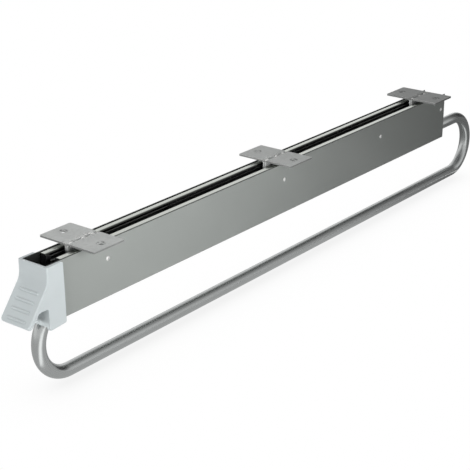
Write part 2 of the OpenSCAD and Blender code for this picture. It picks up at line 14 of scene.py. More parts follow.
import bmesh
import bpy
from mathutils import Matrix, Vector

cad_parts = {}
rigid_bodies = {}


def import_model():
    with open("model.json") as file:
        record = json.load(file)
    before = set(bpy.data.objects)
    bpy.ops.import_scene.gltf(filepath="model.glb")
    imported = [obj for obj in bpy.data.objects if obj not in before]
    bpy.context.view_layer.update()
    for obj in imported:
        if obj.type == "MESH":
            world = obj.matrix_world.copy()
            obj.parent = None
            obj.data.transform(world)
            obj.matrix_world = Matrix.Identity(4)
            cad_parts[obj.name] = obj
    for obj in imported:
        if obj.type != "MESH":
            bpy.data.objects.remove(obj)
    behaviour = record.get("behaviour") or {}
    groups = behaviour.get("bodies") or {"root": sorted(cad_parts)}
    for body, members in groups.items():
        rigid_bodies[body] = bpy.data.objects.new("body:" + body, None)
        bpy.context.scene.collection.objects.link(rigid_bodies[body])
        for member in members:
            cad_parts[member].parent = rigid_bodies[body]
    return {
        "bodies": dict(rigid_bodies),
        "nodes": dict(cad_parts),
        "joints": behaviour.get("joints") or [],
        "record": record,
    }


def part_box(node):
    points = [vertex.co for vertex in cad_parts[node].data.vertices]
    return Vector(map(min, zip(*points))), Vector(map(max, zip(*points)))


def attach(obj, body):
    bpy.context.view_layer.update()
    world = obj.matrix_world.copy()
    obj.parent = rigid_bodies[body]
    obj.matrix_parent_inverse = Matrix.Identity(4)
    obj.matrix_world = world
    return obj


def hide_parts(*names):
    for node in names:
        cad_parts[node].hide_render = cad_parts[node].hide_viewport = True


LOG = logging.getLogger("clothes_rail")
SEED = 11
# Distance within which two vertices of a node's mesh are one
WELD_GAP = 0.000002
# Distance of the screw holes from the rail's middle, and the places of the brackets along the rail
HOLE_X = 0.0335
BRACKET_ROWS = (-0.4180, 0.0, 0.4230)

Colour = Tuple[float, float, float]
Socket = bpy.types.NodeSocket
# A range of values: its two ends and, where they aren't 0 and 1, the two results at its ends
Ramp = Tuple[float, ...]
# A finish's colour, a value around 0.5 that varies its roughness, and the height of its relief
Pattern = Tuple[Any, Any, Any]

WHITE: Colour = (1.0, 1.0, 1.0)
DUST_COLOUR: Colour = (0.6, 0.6, 0.58)


class Side(Enum):
    """The two slides of the rail."""

    LEFT = "left"
    RIGHT = "right"

    @property
    def outward(self) -> int:
        """Direction along X that leads away from the rail's middle."""
        return 1 if self is Side.RIGHT else -1


class Effect(Enum):
    """Shader node groups that several materials share."""

    GRAIN = "Fine grain"
    DRAWN = "Drawn lines"
    WEAR = "Edge wear"
    DUST = "Settled dust"


# Laying nodes


class Board:
    """Lays nodes in one tree, with short calls for what is laid often."""

    def __init__(self, tree: bpy.types.NodeTree) -> None:
        """Keeps the tree; the vector is the place that its patterns follow, once it is set."""
        self.tree = tree
        self.vector: Any = None

    def lay(self, kind: str, inputs: Optional[Dict[Any, Any]] = None, **settings: Any) -> bpy.types.Node:
        """Lays one node.

        Args:
            kind: The node's type.
            inputs: Values or sockets for its inputs, by number, or by name among those in use.
            **settings: Properties of the node, set before its inputs.

        Returns:
            The new node.
        """
        node = self.tree.nodes.new(kind)
        for name, value in settings.items():
            setattr(node, name, value)
        for key, value in (inputs or {}).items():
            named = (socket for socket in node.inputs if socket.name == key and socket.enabled)
            socket = node.inputs[key] if isinstance(key, int) else next(named)
            if isinstance(value, Socket):
                self.tree.links.new(value, socket)
            elif socket.type == "RGBA":
                socket.default_value = (*value, 1.0)
            else:
                socket.default_value = value
        return node

    def out(self, kind: str, inputs: Optional[Dict[Any, Any]] = None, **settings: Any) -> Socket:
        """Lays one node as lay does, and returns its first output."""
        return self.lay(kind, inputs, **settings).outputs[0]

    def math(self, operation: str, *values: Any, clamp: bool = False) -> Socket:
        """Lays a Math node on numbers and sockets; clamp keeps its result between 0 and 1."""
        return self.out("ShaderNodeMath", dict(enumerate(values)), operation=operation, use_clamp=clamp)

    def times(self, first: Any, second: Any) -> Socket:
        """Multiplies two numbers or sockets."""
        return self.math("MULTIPLY", first, second)

    def mean(self, first: Any, second: Any, share: float) -> Socket:
        """Adds two values, with the first one's share of the sum."""
        return self.math("ADD", self.times(first, share), self.times(second, 1.0 - share))

    def between(self, value: Any, low: float, high: float, to_low: float = 0.0,
                to_high: float = 1.0) -> Socket:
        """Maps a value from the range of low to high to a new range, and holds it there."""
        return self.out("ShaderNodeMapRange", {0: value, 1: low, 2: high, 3: to_low, 4: to_high})

    def blend(self, factor: Any, first: Any, second: Any) -> Socket:
        """Mixes two colours, with the factor as the share of the second."""
        return self.lay("ShaderNodeMix", {0: factor, 6: first, 7: second}, data_type="RGBA").outputs[2]

    def scaled(self, vector: Any, factor: Any) -> Socket:
        """Scales a vector or a colour by one factor."""
        return self.out("ShaderNodeVectorMath", {0: vector, 3: factor}, operation="SCALE")

    def shaded(self, colour: Any, value: Any, spread: float) -> Socket:
        """Darkens and lightens a colour by a value between 0 and 1."""
        return self.scaled(colour, self.between(value, 0.0, 1.0, 1.0 - spread, 1.0 + spread))

    def parts(self, vector: Any) -> Sequence[Socket]:
        """Splits a vector into X, Y and Z."""
        return self.lay("ShaderNodeSeparateXYZ", {0: vector}).outputs

    def joined(self, x: Any, y: Any, z: Any) -> Socket:
        """Joins X, Y and Z to a vector."""
        return self.out("ShaderNodeCombineXYZ", {0: x, 1: y, 2: z})

    def normal(self) -> Sequence[Socket]:
        """Returns X, Y and Z of the direction that the surface faces."""
        return self.parts(self.lay("ShaderNodeNewGeometry").outputs["Normal"])

    def openness(self, reach: float, samples: int) -> Socket:
        """Lays an Ambient Occlusion node and returns the open share of the surroundings."""
        return self.lay("ShaderNodeAmbientOcclusion", {"Distance": reach}, samples=samples).outputs["AO"]

    def noise(self, scale: Any, detail: float = 3.0, roughness: float = 0.5,
              stretch: Optional[Tuple[float, float, float]] = None) -> Socket:
        """Lays a noise texture.

        Args:
            scale: How fine it is.
            detail: Number of finer layers.
            roughness: Weight of the finer layers.
            stretch: A factor for the place along each axis, if it isn't even.

        Returns:
            Its value, around 0.5.
        """
        place = self.vector
        if stretch:
            place = self.out("ShaderNodeVectorMath", {0: place, 1: stretch}, operation="MULTIPLY")
        return self.out("ShaderNodeTexNoise", {"Vector": place, "Scale": scale, "Detail": detail,
                                               "Roughness": roughness})

    def cells(self, scale: float) -> Any:
        """Lays a cell pattern and returns its outputs by name."""
        return self.lay("ShaderNodeTexVoronoi", {"Vector": self.vector, "Scale": scale}).outputs

    def effect(self, effect: Effect, **inputs: Any) -> Any:
        """Places a shared effect at the board's vector.

        Args:
            effect: Which effect.
            **inputs: Its other inputs, with underscores for the spaces of their names.

        Returns:
            Its outputs by name.
        """
        named = {name.replace("_", " "): value for name, value in inputs.items()}
        return self.lay("ShaderNodeGroup", {"Vector": self.vector, **named},
                        node_tree=bpy.data.node_groups[effect.value]).outputs

    def glow(self, kind: str, strength: Any) -> Socket:
        """Lays a white light of a strength: an Emission or a Background node."""
        return self.out(kind, {"Color": WHITE, "Strength": strength})

    def rays(self) -> Tuple[Socket, Socket]:
        """Tells the camera's rays, also those through glass, and the rays that mirror the room."""
        rays = self.lay("ShaderNodeLightPath").outputs
        return self.math("MAXIMUM", rays["Is Camera Ray"], rays["Is Transmission Ray"]), rays["Is Glossy Ray"]


class Group(Board):
    """The board of a node group with named inputs."""

    def __init__(self, name: str, kind: str) -> None:
        """Starts the group."""
        super().__init__(bpy.data.node_groups.new(name, kind))
        self.given = self.lay("NodeGroupInput")

    def takes(self, name: str, kind: str = "Float") -> Socket:
        """Adds a named input and returns its socket inside the group."""
        self.tree.interface.new_socket(name, in_out="INPUT", socket_type=f"NodeSocket{kind}")
        return self.given.outputs[name]

    def gives(self, **outputs: Socket) -> None:
        """Ends the group.

        Args:
            **outputs: The socket behind each named output.
        """
        kinds = {"RGBA": "Color", "VALUE": "Float", "GEOMETRY": "Geometry"}
        for name, value in outputs.items():
            kind = f"NodeSocket{kinds[value.type]}"
            self.tree.interface.new_socket(name, in_out="OUTPUT", socket_type=kind)
        self.lay("NodeGroupOutput", outputs)


# Effects that several materials share


# Ranges of a noise that the effects spread
CLOUDS: Ramp = (0.3, 0.7)
SPECKLE: Ramp = (0.42, 0.62)
LINES: Ramp = (0.32, 0.68)
SCUFFS: Ramp = (0.66, 0.78)
WORN_AND_HIGHLIT_PATCHES: Ramp = (0.35, 0.6, 0.35, 1.0)
DUST_PATCHES: Ramp = (0.4, 0.72)
# Range of Z in the direction of a face over which dust begins to lie
DUST_SLOPE: Ramp = (0.4, 0.95)
# Factors for the place along X, Y and Z that draw a noise out to lines
COARSE_LINES = (520.0, 520.0, 9.0)
FINE_LINES = (1900.0, 1900.0, 30.0)
SCUFF_LINES = (60.0, 60.0, 380.0)


class EffectGroup(Group):
    """The group of a shared effect, which works at a vector."""

    def __init__(self, effect: Effect) -> None:
        """Starts the group under the effect's name."""
        super().__init__(effect.value, "ShaderNodeTree")
        self.vector = self.takes("Vector", "Vector")

    def gives_coat(self, where: Socket, patches: Socket) -> None:
        """Ends the group with a coat of a second colour.

        Args:
            where: Mask of the places that the coat may lie on.
            patches: Mask that breaks it up.
        """
        mask = self.math("MULTIPLY", self.times(where, patches), self.takes("Amount"), clamp=True)
        colour = self.blend(mask, self.takes("Colour", "Color"), self.takes("Coat colour", "Color"))
        self.gives(Colour=colour, Mask=mask)


def build_grain() -> None:
    """Builds the fine grain of moulded, cast and lacquered faces: small bumps over slow clouds."""
    group = EffectGroup(Effect.GRAIN)
    bumps = group.noise(group.takes("Grain scale"), 2.0)
    clouds = group.noise(group.takes("Cloud scale"), 4.0)
    group.gives(Height=bumps, Clouds=group.between(clouds, *CLOUDS), Speckle=group.between(bumps, *SPECKLE))


def build_drawn_lines() -> None:
    """Builds the lines that rolling or drawing leaves along a piece, with scuffs across them."""
    group = EffectGroup(Effect.DRAWN)
    coarse = group.noise(1.0, 3.0, 0.6, stretch=COARSE_LINES)
    fine = group.noise(1.0, 2.0, 0.6, stretch=FINE_LINES)
    scuffs = group.noise(1.0, 3.0, 0.7, stretch=SCUFF_LINES)
    lines = group.mean(coarse, fine, 0.55)
    group.gives(Lines=group.between(lines, *LINES), Height=fine, Scuffs=group.between(scuffs, *SCUFFS))


def build_edge_wear_and_highlight() -> None:
    """Builds the lighter edges, partly rubbed and partly a painted highlight, from the share of edge that the
    worked meshes carry.
    """
    group = EffectGroup(Effect.WEAR)
    edge = group.lay("ShaderNodeAttribute", attribute_name="edge").outputs["Fac"]
    group.gives_coat(edge, group.between(group.noise(130.0), *WORN_AND_HIGHLIT_PATCHES))


def build_dust() -> None:
    """Builds the thin dust that settles on faces that look up."""
    group = EffectGroup(Effect.DUST)
    upward = group.between(group.normal()[2], *DUST_SLOPE)
    group.gives_coat(upward, group.between(group.noise(240.0, 5.0, 0.65), *DUST_PATCHES))


# Finishes


@dataclass(frozen=True)
class Finish:
    """A surface finish: the record's slot it belongs to, its colour and how it takes the light."""

    slot: str
    colour: Colour
    roughness: float
    metallic: float = 0.0
    specular: float = 0.5
    unevenness: float = 0.06
    rough_spread: float = 0.12
    bump: float = 0.2
    bump_depth: float = 0.00002
    # Lighter colour of the broken edges, partly rubbing and partly painted highlight
    worn_and_highlit: Optional[Colour] = None
    worn_rough: float = 0.8
    worn_metallic: float = 0.0
    dust: float = 0.0
    dust_rough: float = 0.3
    # Strength of the shade painted into narrow corners on faces that look up
    crevice_shade: float = 0.0
    crevice_reach: float = 0.0022
    crevice_slope: Ramp = (0.25, 0.62)
    crevice_open: Ramp = (0.55, 0.95)
    grain_scale: float = 900.0
    cloud_scale: float = 18.0
    variant: str = ""

    def material(self) -> bpy.types.Material:
        """Returns the finish's material, which is made at its first use."""
        return bpy.data.materials.get(self.name) or self.make()

    @property
    def name(self) -> str:
        """Name of the finish's material."""
        return f"{self.slot}_finish{self.variant}"

    def place(self, board: Board) -> Socket:
        """Returns the coordinates that the finish's pattern follows."""
        return board.lay("ShaderNodeTexCoord").outputs["Object"]

    def pattern(self, board: Board) -> Pattern:
        """Lays and returns the finish's own pattern; here fine grain over slow clouds."""
        grain = board.effect(Effect.GRAIN, Grain_scale=self.grain_scale, Cloud_scale=self.cloud_scale)
        return board.shaded(self.colour, grain["Clouds"], self.unevenness), grain["Speckle"], grain["Height"]

    def make(self) -> bpy.types.Material:
        """Makes the material with the finish's pattern, lighter edges (partly rubbed, partly painted
        highlight), dust, painted shade in narrow corners and relief.

        Returns:
            The material.
        """
        material = bpy.data.materials.new(self.name)
        material.use_nodes = True
        material.diffuse_color = (*self.colour, 1.0)
        material.node_tree.nodes.clear()
        board = Board(material.node_tree)
        board.vector = self.place(board)
        colour, variation, height = self.pattern(board)
        rough = board.between(variation, 0.0, 1.0, self.roughness * (1.0 - self.rough_spread),
                              self.roughness * (1.0 + self.rough_spread))
        metallic: Any = self.metallic
        # The broken edges take the lighter colour: partly rubbed, partly a painted highlight
        if self.worn_and_highlit:
            wear_and_highlight = board.effect(Effect.WEAR, Colour=colour, Coat_colour=self.worn_and_highlit, Amount=1.0)
            colour = wear_and_highlight["Colour"]
            rough = board.times(rough, board.between(wear_and_highlight["Mask"], 0.0, 1.0, 1.0, self.worn_rough))
            if self.worn_metallic:
                metallic = board.between(wear_and_highlight["Mask"], 0.0, 1.0, self.metallic, self.worn_metallic)
        if self.dust:
            dust = board.effect(Effect.DUST, Colour=colour, Coat_colour=DUST_COLOUR, Amount=self.dust)
            colour = dust["Colour"]
            rough = board.math("ADD", rough, board.times(dust["Mask"], self.dust_rough), clamp=True)
        # Painted shade: narrow corners on faces that look up are darkened by their ambient occlusion
        if self.crevice_shade:
            colour = board.scaled(colour, self.open_share(board))
        bump = board.out("ShaderNodeBump", {"Strength": self.bump, "Distance": self.bump_depth,
                                            "Height": height})
        shader = board.out("ShaderNodeBsdfPrincipled", {
            "Base Color": colour, "Roughness": rough, "Metallic": metallic,
            "Specular IOR Level": self.specular, "Normal": bump})
        board.lay("ShaderNodeOutputMaterial", {"Surface": shader})
        return material

    def open_share(self, board: Board) -> Socket:
        """Finds the share of light that narrow corners leave on sloping faces that look up, which is painted
        into the colour as shade.

        Args:
            board: The material's board.

        Returns:
            The share, 1 in the open.
        """
        upward = board.between(board.normal()[2], *self.crevice_slope)
        near = board.openness(self.crevice_reach, samples=8)
        closed = board.between(near, *self.crevice_open, self.crevice_shade, 0.0)
        return board.math("SUBTRACT", 1.0, board.times(closed, upward))


@dataclass(frozen=True)
class DrawnMetal(Finish):
    """Metal with lines along the rail, as rolling or drawing leaves them."""

    scuff_gain: float = 1.06

    def place(self, board: Board) -> Socket:
        """Turns the object's coordinates so that the lines run along Y."""
        axes = board.parts(super().place(board))
        return board.joined(axes[0], axes[2], axes[1])

    def pattern(self, board: Board) -> Pattern:
        """Lays the lines, with scuffs across them.

        Args:
            board: The material's board.

        Returns:
            The finish's pattern.
        """
        lines = board.effect(Effect.DRAWN)
        colour = board.shaded(self.colour, lines["Lines"], self.unevenness)
        colour = board.scaled(colour, board.between(lines["Scuffs"], 0.0, 1.0, 1.0, self.scuff_gain))
        return colour, lines["Lines"], lines["Height"]


@dataclass(frozen=True)
class TubeMetal(DrawnMetal):
    """Satin metal whose fine lines follow the tube round its bends."""

    def place(self, board: Board) -> Socket:
        """Reads the place on the tube as if it were straight."""
        return board.lay("ShaderNodeAttribute", attribute_name="unbent").outputs["Vector"]


@dataclass(frozen=True)
class Galvanised(Finish):
    """Zinc-coated steel with a faint spangle, dark cut edges, painted shade ringing the holes, and burnt
    patches and painted glints beside the weld.
    """

    specular: float = 0.3
    spangle_scale: float = 230.0
    spangle: float = 0.06
    # Distances from a hole's middle between which its ring of painted shade begins and ends
    ring_in: Ramp = (0.0042, 0.0046)
    ring_out: Ramp = (0.0058, 0.0070, 1.0, 0.0)
    ring_scale: float = 260.0
    ring_patches: Ramp = (0.42, 0.58, 0.1, 0.75)
    ring_shade_colour: Colour = (0.10, 0.10, 0.10)
    plate_under: float = -0.0031
    cut_share: float = 0.42
    cut_slope: Ramp = (0.35, 0.6, 1.0, 0.0)
    seam: Ramp = (0.004, 0.012, 1.0, 0.0)
    burnt_scale: float = 330.0
    burnt_patches: Ramp = (0.56, 0.66, 0.0, 0.75)
    burnt_colour: Colour = (0.16, 0.16, 0.155)
    drop_scale: float = 420.0
    drop_size: Ramp = (0.20, 0.30, 1.0, 0.0)
    # Near-white colour of the spatter drops, a painted glint
    drop_glint_colour: Colour = (0.95, 0.95, 0.93)

    def pattern(self, board: Board) -> Pattern:
        """Lays crystals of slightly different greys, and what cutting, drilling and welding left.

        Args:
            board: The material's board.

        Returns:
            The finish's pattern.
        """
        colour, speckle, height = super().pattern(board)
        tone = board.out("ShaderNodeSeparateColor", {0: board.cells(self.spangle_scale)["Color"]})
        colour = self.cut(board, board.shaded(colour, tone, self.spangle))
        variation = board.mean(tone, speckle, 0.6)
        return self.spattered(board, colour), variation, height

    def cut(self, board: Board, colour: Socket) -> Socket:
        """Darkens the sheared edges of the plates, and paints shade in a ring round each drilled hole.

        Args:
            board: The material's board.
            colour: The zinc's colour.

        Returns:
            The darkened colour.
        """
        place = board.parts(board.vector)
        across = board.math("SUBTRACT", board.math("ABSOLUTE", place[0]), HOLE_X)
        off: Any = 1.0
        for row in BRACKET_ROWS:
            along = board.math("SUBTRACT", place[1], row)
            reach = board.math("SQRT", board.math("MULTIPLY_ADD", along, along, board.times(across, across)))
            off = board.math("MINIMUM", off, reach)
        # Painted shade: a broken dark ring on the countersink round each hole
        ring = board.times(board.between(off, *self.ring_in), board.between(off, *self.ring_out))
        ring = board.times(ring, board.between(board.noise(self.ring_scale), *self.ring_patches))
        upright = board.math("ABSOLUTE", board.normal()[2])
        sheared = board.times(board.between(upright, *self.cut_slope),
                              board.math("GREATER_THAN", place[2], self.plate_under))
        colour = board.scaled(colour, board.between(sheared, 0.0, 1.0, 1.0, self.cut_share))
        return board.blend(ring, colour, self.ring_shade_colour)

    def spattered(self, board: Board, colour: Socket) -> Socket:
        """Marks the strip beside the welded seam with burnt patches and spatter drops painted near-white as
        glints.

        Args:
            board: The material's board.
            colour: The zinc's colour.

        Returns:
            The marked colour.
        """
        across = board.math("ABSOLUTE", board.parts(board.vector)[0])
        strip = board.between(across, *self.seam)
        burnt = board.between(board.noise(self.burnt_scale, 2.0), *self.burnt_patches)
        drops = board.between(board.cells(self.drop_scale)["Distance"], *self.drop_size)
        colour = board.blend(board.times(strip, burnt), colour, self.burnt_colour)
        # Painted highlight: the spatter drops take the near-white colour as glints
        return board.blend(board.times(strip, drops), colour, self.drop_glint_colour)


@dataclass(frozen=True)
class OpenSheet(DrawnMetal):
    """Drawn metal at its full colour on top and on its cut ends, with painted shade further down and a
    painted highlight on its outer corner.
    """

    # Heights between which painted shade darkens the sheet below the flange, and the place across the rail of
    # the outer corner that a painted highlight brightens
    flange: Ramp = (-0.0092, -0.0086, 0.12, 1.0)
    corner: Ramp = (0.0156, 0.0162, 1.0, 1.3)
    end: Ramp = (0.6, 0.8)
    lip_x: float = 0.0112
    lip_rise: float = 0.0014

    def pattern(self, board: Board) -> Pattern:
        """Lays the lines, paints shade on what lies below the flange except on the ends, and paints a
        highlight on the outer corner.

        Args:
            board: The material's board.

        Returns:
            The finish's pattern.
        """
        colour, lines, height = super().pattern(board)
        place = board.parts(board.vector)
        across = board.math("ABSOLUTE", place[0])
        # Painted shade darkens the sheet below the flange and a painted highlight brightens its outer corner;
        # faces towards the ends keep their colour
        lip = board.math("LESS_THAN", across, self.lip_x)
        level = board.math("MULTIPLY_ADD", lip, -self.lip_rise, place[1])
        bright = board.times(board.between(level, *self.flange), board.between(across, *self.corner))
        end = board.between(board.math("ABSOLUTE", board.normal()[1]), *self.end)
        share = board.math("MAXIMUM", bright, end)
        return board.scaled(colour, share), lines, height


@dataclass(frozen=True)
class CoverLacquer(Finish):
    """Satin lacquer on the cover's outer faces, with painted shade inside and along the cut edge at the top.
    """

    specular: float = 0.3
    # Near-black colour that stands in for the shade inside the cover and along its top edge
    painted_shade_colour: Colour = (0.035, 0.037, 0.036)
    edge_z: float = -0.0069
    inner_x: float = 0.0197
    floor_z: float = -0.086

    def pattern(self, board: Board) -> Pattern:
        """Lays the lacquer's orange peel, and paints shade on the inside and along the cut edge at the top.

        Args:
            board: The material's board.

        Returns:
            The finish's pattern.
        """
        colour, speckle, height = super().pattern(board)
        place = board.parts(board.vector)
        # Painted shade: the inner faces and the top edge of the walls take the near-black colour
        high = board.math("GREATER_THAN", place[2], self.edge_z)
        inside = board.times(board.math("LESS_THAN", board.math("ABSOLUTE", place[0]), self.inner_x),
                             board.math("GREATER_THAN", place[2], self.floor_z))
        return board.blend(board.math("MAXIMUM", high, inside), colour, self.painted_shade_colour), speckle, height


class Finishes(Enum):
    """The finishes of the rail's pieces."""

    BRACKET = Galvanised("bracket_zinc", (0.545, 0.56, 0.55), 0.48, unevenness=0.05, bump=0.25,
                         worn_and_highlit=(0.80, 0.81, 0.80), worn_metallic=1.0, dust=0.12, grain_scale=700.0,
                         cloud_scale=30.0)
    SLIDE = OpenSheet("slide_zinc", (0.70, 0.73, 0.68), 0.22, metallic=1.0, unevenness=0.08, dust=0.10)
    # Painted shade: a darker copy of the slide zinc for the inner and intermediate members inside the rail
    SLIDE_INSIDE = DrawnMetal("slide_zinc", (0.34, 0.355, 0.345), 0.42, metallic=1.0, unevenness=0.15,
                              worn_and_highlit=(0.42, 0.42, 0.41), variant="_dark")
    STEEL = Finish("fastener_steel", (0.56, 0.57, 0.58), 0.34, metallic=1.0, unevenness=0.08,
                   grain_scale=1500.0, cloud_scale=90.0)
    # Dark steel for the balls: partly grease, partly painted shade for the balls inside the rail
    GREASED = Finish("fastener_steel", (0.16, 0.16, 0.15), 0.55, metallic=1.0, unevenness=0.2,
                     grain_scale=1500.0, cloud_scale=300.0, variant="_greased")
    # Painted highlight: the weld beads take a near-white colour so that they show as bright glints
    WELD = Finish("fastener_steel", (0.95, 0.95, 0.93), 0.26, unevenness=0.1, bump=0.3, grain_scale=1500.0,
                  cloud_scale=300.0, variant="_bright")
    RIVET = Finish("rivet_aluminium", (0.82, 0.82, 0.81), 0.36, metallic=0.4, grain_scale=1700.0,
                   cloud_scale=120.0)
    COVER = CoverLacquer("cover_paint", (0.355, 0.375, 0.360), 0.42, metallic=0.15, unevenness=0.03,
                         bump=0.3, worn_and_highlit=(0.42, 0.44, 0.43), dust=0.05, grain_scale=850.0, cloud_scale=9.0)
    CAP = Finish("cap_plastic", (0.60, 0.65, 0.66), 0.44, unevenness=0.025, bump=0.35,
                 worn_and_highlit=(0.68, 0.73, 0.74), dust=0.06, crevice_shade=0.6, grain_scale=2100.0, cloud_scale=24.0)
    TUBE = TubeMetal("tube_satin", (0.61, 0.63, 0.625), 0.28, metallic=1.0, unevenness=0.05)
    PLASTIC = Finish("black_plastic", (0.022, 0.022, 0.024), 0.42, unevenness=0.2, bump=0.3,
                     worn_and_highlit=(0.06, 0.06, 0.065), dust=0.10, grain_scale=1800.0, cloud_scale=60.0)
    RUBBER = Finish("black_rubber", (0.026, 0.026, 0.027), 0.66, unevenness=0.3, bump=0.3,
                    worn_and_highlit=(0.07, 0.07, 0.07), dust=0.15, grain_scale=1200.0, cloud_scale=80.0)


# Working on meshes


def link_object(name: str, data: bpy.types.ID) -> bpy.types.Object:
    """Makes an object in the scene's own collection.

    Args:
        name: Its name.
        data: Its mesh, lamp or camera.

    Returns:
        The object, at the origin.
    """
    made = bpy.data.objects.new(name, data)
    bpy.context.scene.collection.objects.link(made)
    return made


def baked(piece: bpy.types.Object) -> bpy.types.Object:
    """Turns the result of a piece's modifiers into its plain mesh.

    Args:
        piece: The object with modifiers.

    Returns:
        The same object, without them.
    """
    bpy.context.view_layer.update()
    graph = bpy.context.evaluated_depsgraph_get()
    mesh = bpy.data.meshes.new_from_object(piece.evaluated_get(graph), preserve_all_data_layers=True,
                                           depsgraph=graph)
    piece.modifiers.clear()
    old = piece.data
    piece.data = mesh
    mesh.name = piece.name
    bpy.data.meshes.remove(old)
    return piece


@dataclass(frozen=True)
class Sunk:
    """A countersink at the top of a drilled hole."""

    centre: Vector
    hole_radius: float
    rim_radius: float
    depth: float
    level_gap: float = 0.00001
    radius_gap: float = 0.0002

    def on_rim(self, vert: bmesh.types.BMVert) -> bool:
        """Tells whether a vertex belongs to the hole's top rim."""
        off = vert.co - self.centre
        return abs(off.z) < self.level_gap and abs(off.xy.length - self.hole_radius) < self.radius_gap

    def cut(self, made: bmesh.types.BMesh) -> None:
        """Widens the hole's top rim to a cone and leaves the drilled wall below it.

        Args:
            made: The plate's mesh, with the hole's top rim at the height of the centre.
        """
        rim = [vert for vert in made.verts if self.on_rim(vert)]
        walls = [edge for vert in rim for edge in vert.link_edges
                 if abs(edge.verts[0].co.z - edge.verts[1].co.z) > self.depth]
        new = []
        for edge in walls:
            top = max(edge.verts, key=lambda vert: vert.co.z)
            new.append(bmesh.utils.edge_split(edge, top, self.depth / edge.calc_length())[1])
        for vert in new:
            for face in list(vert.link_faces):
                other = [v for v in face.verts if v in new and v is not vert]
                if other and not any(e.other_vert(vert) in other for e in vert.link_edges):
                    bmesh.utils.face_split(face, vert, other[0])
        for vert in rim:
            off = vert.co - self.centre
            vert.co = self.centre + off * (self.rim_radius / math.hypot(off.x, off.y))


@dataclass
class Worked:
    """A node's solid, welded to one skin, with its sharp edges broken."""

    node: str
    # Width of the broken edges
    edge: float
    segments: int = 2
    # Angle from which an edge counts as sharp
    sharp: float = math.radians(34)
    # Angle up to which neighbouring faces are merged
    flat: float = math.radians(0.2)
    # Cosine under which two faces lie back to back
    opposed: float = -0.9999
    # Angle up to which neighbouring faces are shaded as one
    smooth: float = math.radians(50)
    sunk: Optional[Sunk] = None
    # Area above which a face of many corners is shaded flat; 0 weights the normals instead
    plain_area: float = 0.0
    plain_corners: int = 6
    # Distance by which every face draws back, for a piece that others slide along
    ease: float = 0.0

    def skin(self, source: bpy.types.Object) -> bpy.types.Mesh:
        """Merges the node's loose triangles into flat faces that share their edges.

        Walls left inside the skin, which meet another face back to back at an edge, are taken out.

        Args:
            source: The frame's object of the node.

        Returns:
            The merged mesh.
        """
        made = bmesh.new()
        made.from_mesh(source.data)
        bmesh.ops.remove_doubles(made, verts=made.verts[:], dist=WELD_GAP)
        bmesh.ops.dissolve_limit(made, angle_limit=self.flat, verts=made.verts[:], edges=made.edges[:])
        walls = {face for edge in made.edges for face in edge.link_faces for other in edge.link_faces
                 if face.normal.dot(other.normal) < self.opposed}
        bmesh.ops.delete(made, geom=sorted(walls, key=lambda face: face.index), context="FACES")
        if self.sunk:
            self.sunk.cut(made)
        if self.ease:
            drawn = [vert.co - vert.normal * vert.calc_shell_factor() * self.ease for vert in made.verts]
            for vert, place in zip(made.verts, drawn):
                vert.co = place
        mesh = bpy.data.meshes.new(self.node)
        made.to_mesh(mesh)
        made.free()
        return mesh

    def build(self, source: bpy.types.Object) -> bpy.types.Object:
        """Builds the piece: edges broken by a small bevel and marked for their lighter colour, partly rubbing
        and partly painted highlight, faces shaded smooth.

        Args:
            source: The frame's object of the node.

        Returns:
            The piece as a plain mesh.
        """
        piece = link_object(f"{self.node}_worked", self.skin(source))
        # One slot for the faces and one for the broken edges
        for _ in range(2):
            piece.data.materials.append(None)
        bevel = piece.modifiers.new("Broken edges", "BEVEL")
        bevel.width = self.edge
        bevel.segments = self.segments
        bevel.limit_method = "ANGLE"
        bevel.angle_limit = self.sharp
        bevel.material = 1
        bevel.miter_outer = "MITER_ARC"
        mesh = baked(piece).data
        edge = mesh.attributes.new("edge", "FLOAT", "FACE")
        edge.data.foreach_set("value", [float(face.material_index) for face in mesh.polygons])
        mesh.polygons.foreach_set("material_index", [0] * len(mesh.polygons))
        mesh.shade_smooth()
        mesh.set_sharp_from_angle(angle=self.smooth)
        if self.plain_area:
            for face in mesh.polygons:
                many = len(face.vertices) > self.plain_corners
                face.use_smooth = not (face.area > self.plain_area and many)
            return piece
        weighted = piece.modifiers.new("Flat faces stay flat", "WEIGHTED_NORMAL")
        weighted.keep_sharp = True
        weighted.weight = 100
        return baked(piece)


@dataclass(frozen=True)
class Ring:
    """One ring of a turned piece: its height on the axis, its radius, and how hexagonal it is."""

    height: float
    radius: float
    hexagon: float = 0.0


def mirrored(rings: List[Ring]) -> List[Ring]:
    """Adds the mirror image of the upper rings below them, for a hollow piece."""
    return rings + [Ring(-ring.height, ring.radius, ring.hexagon) for ring in reversed(rings)]


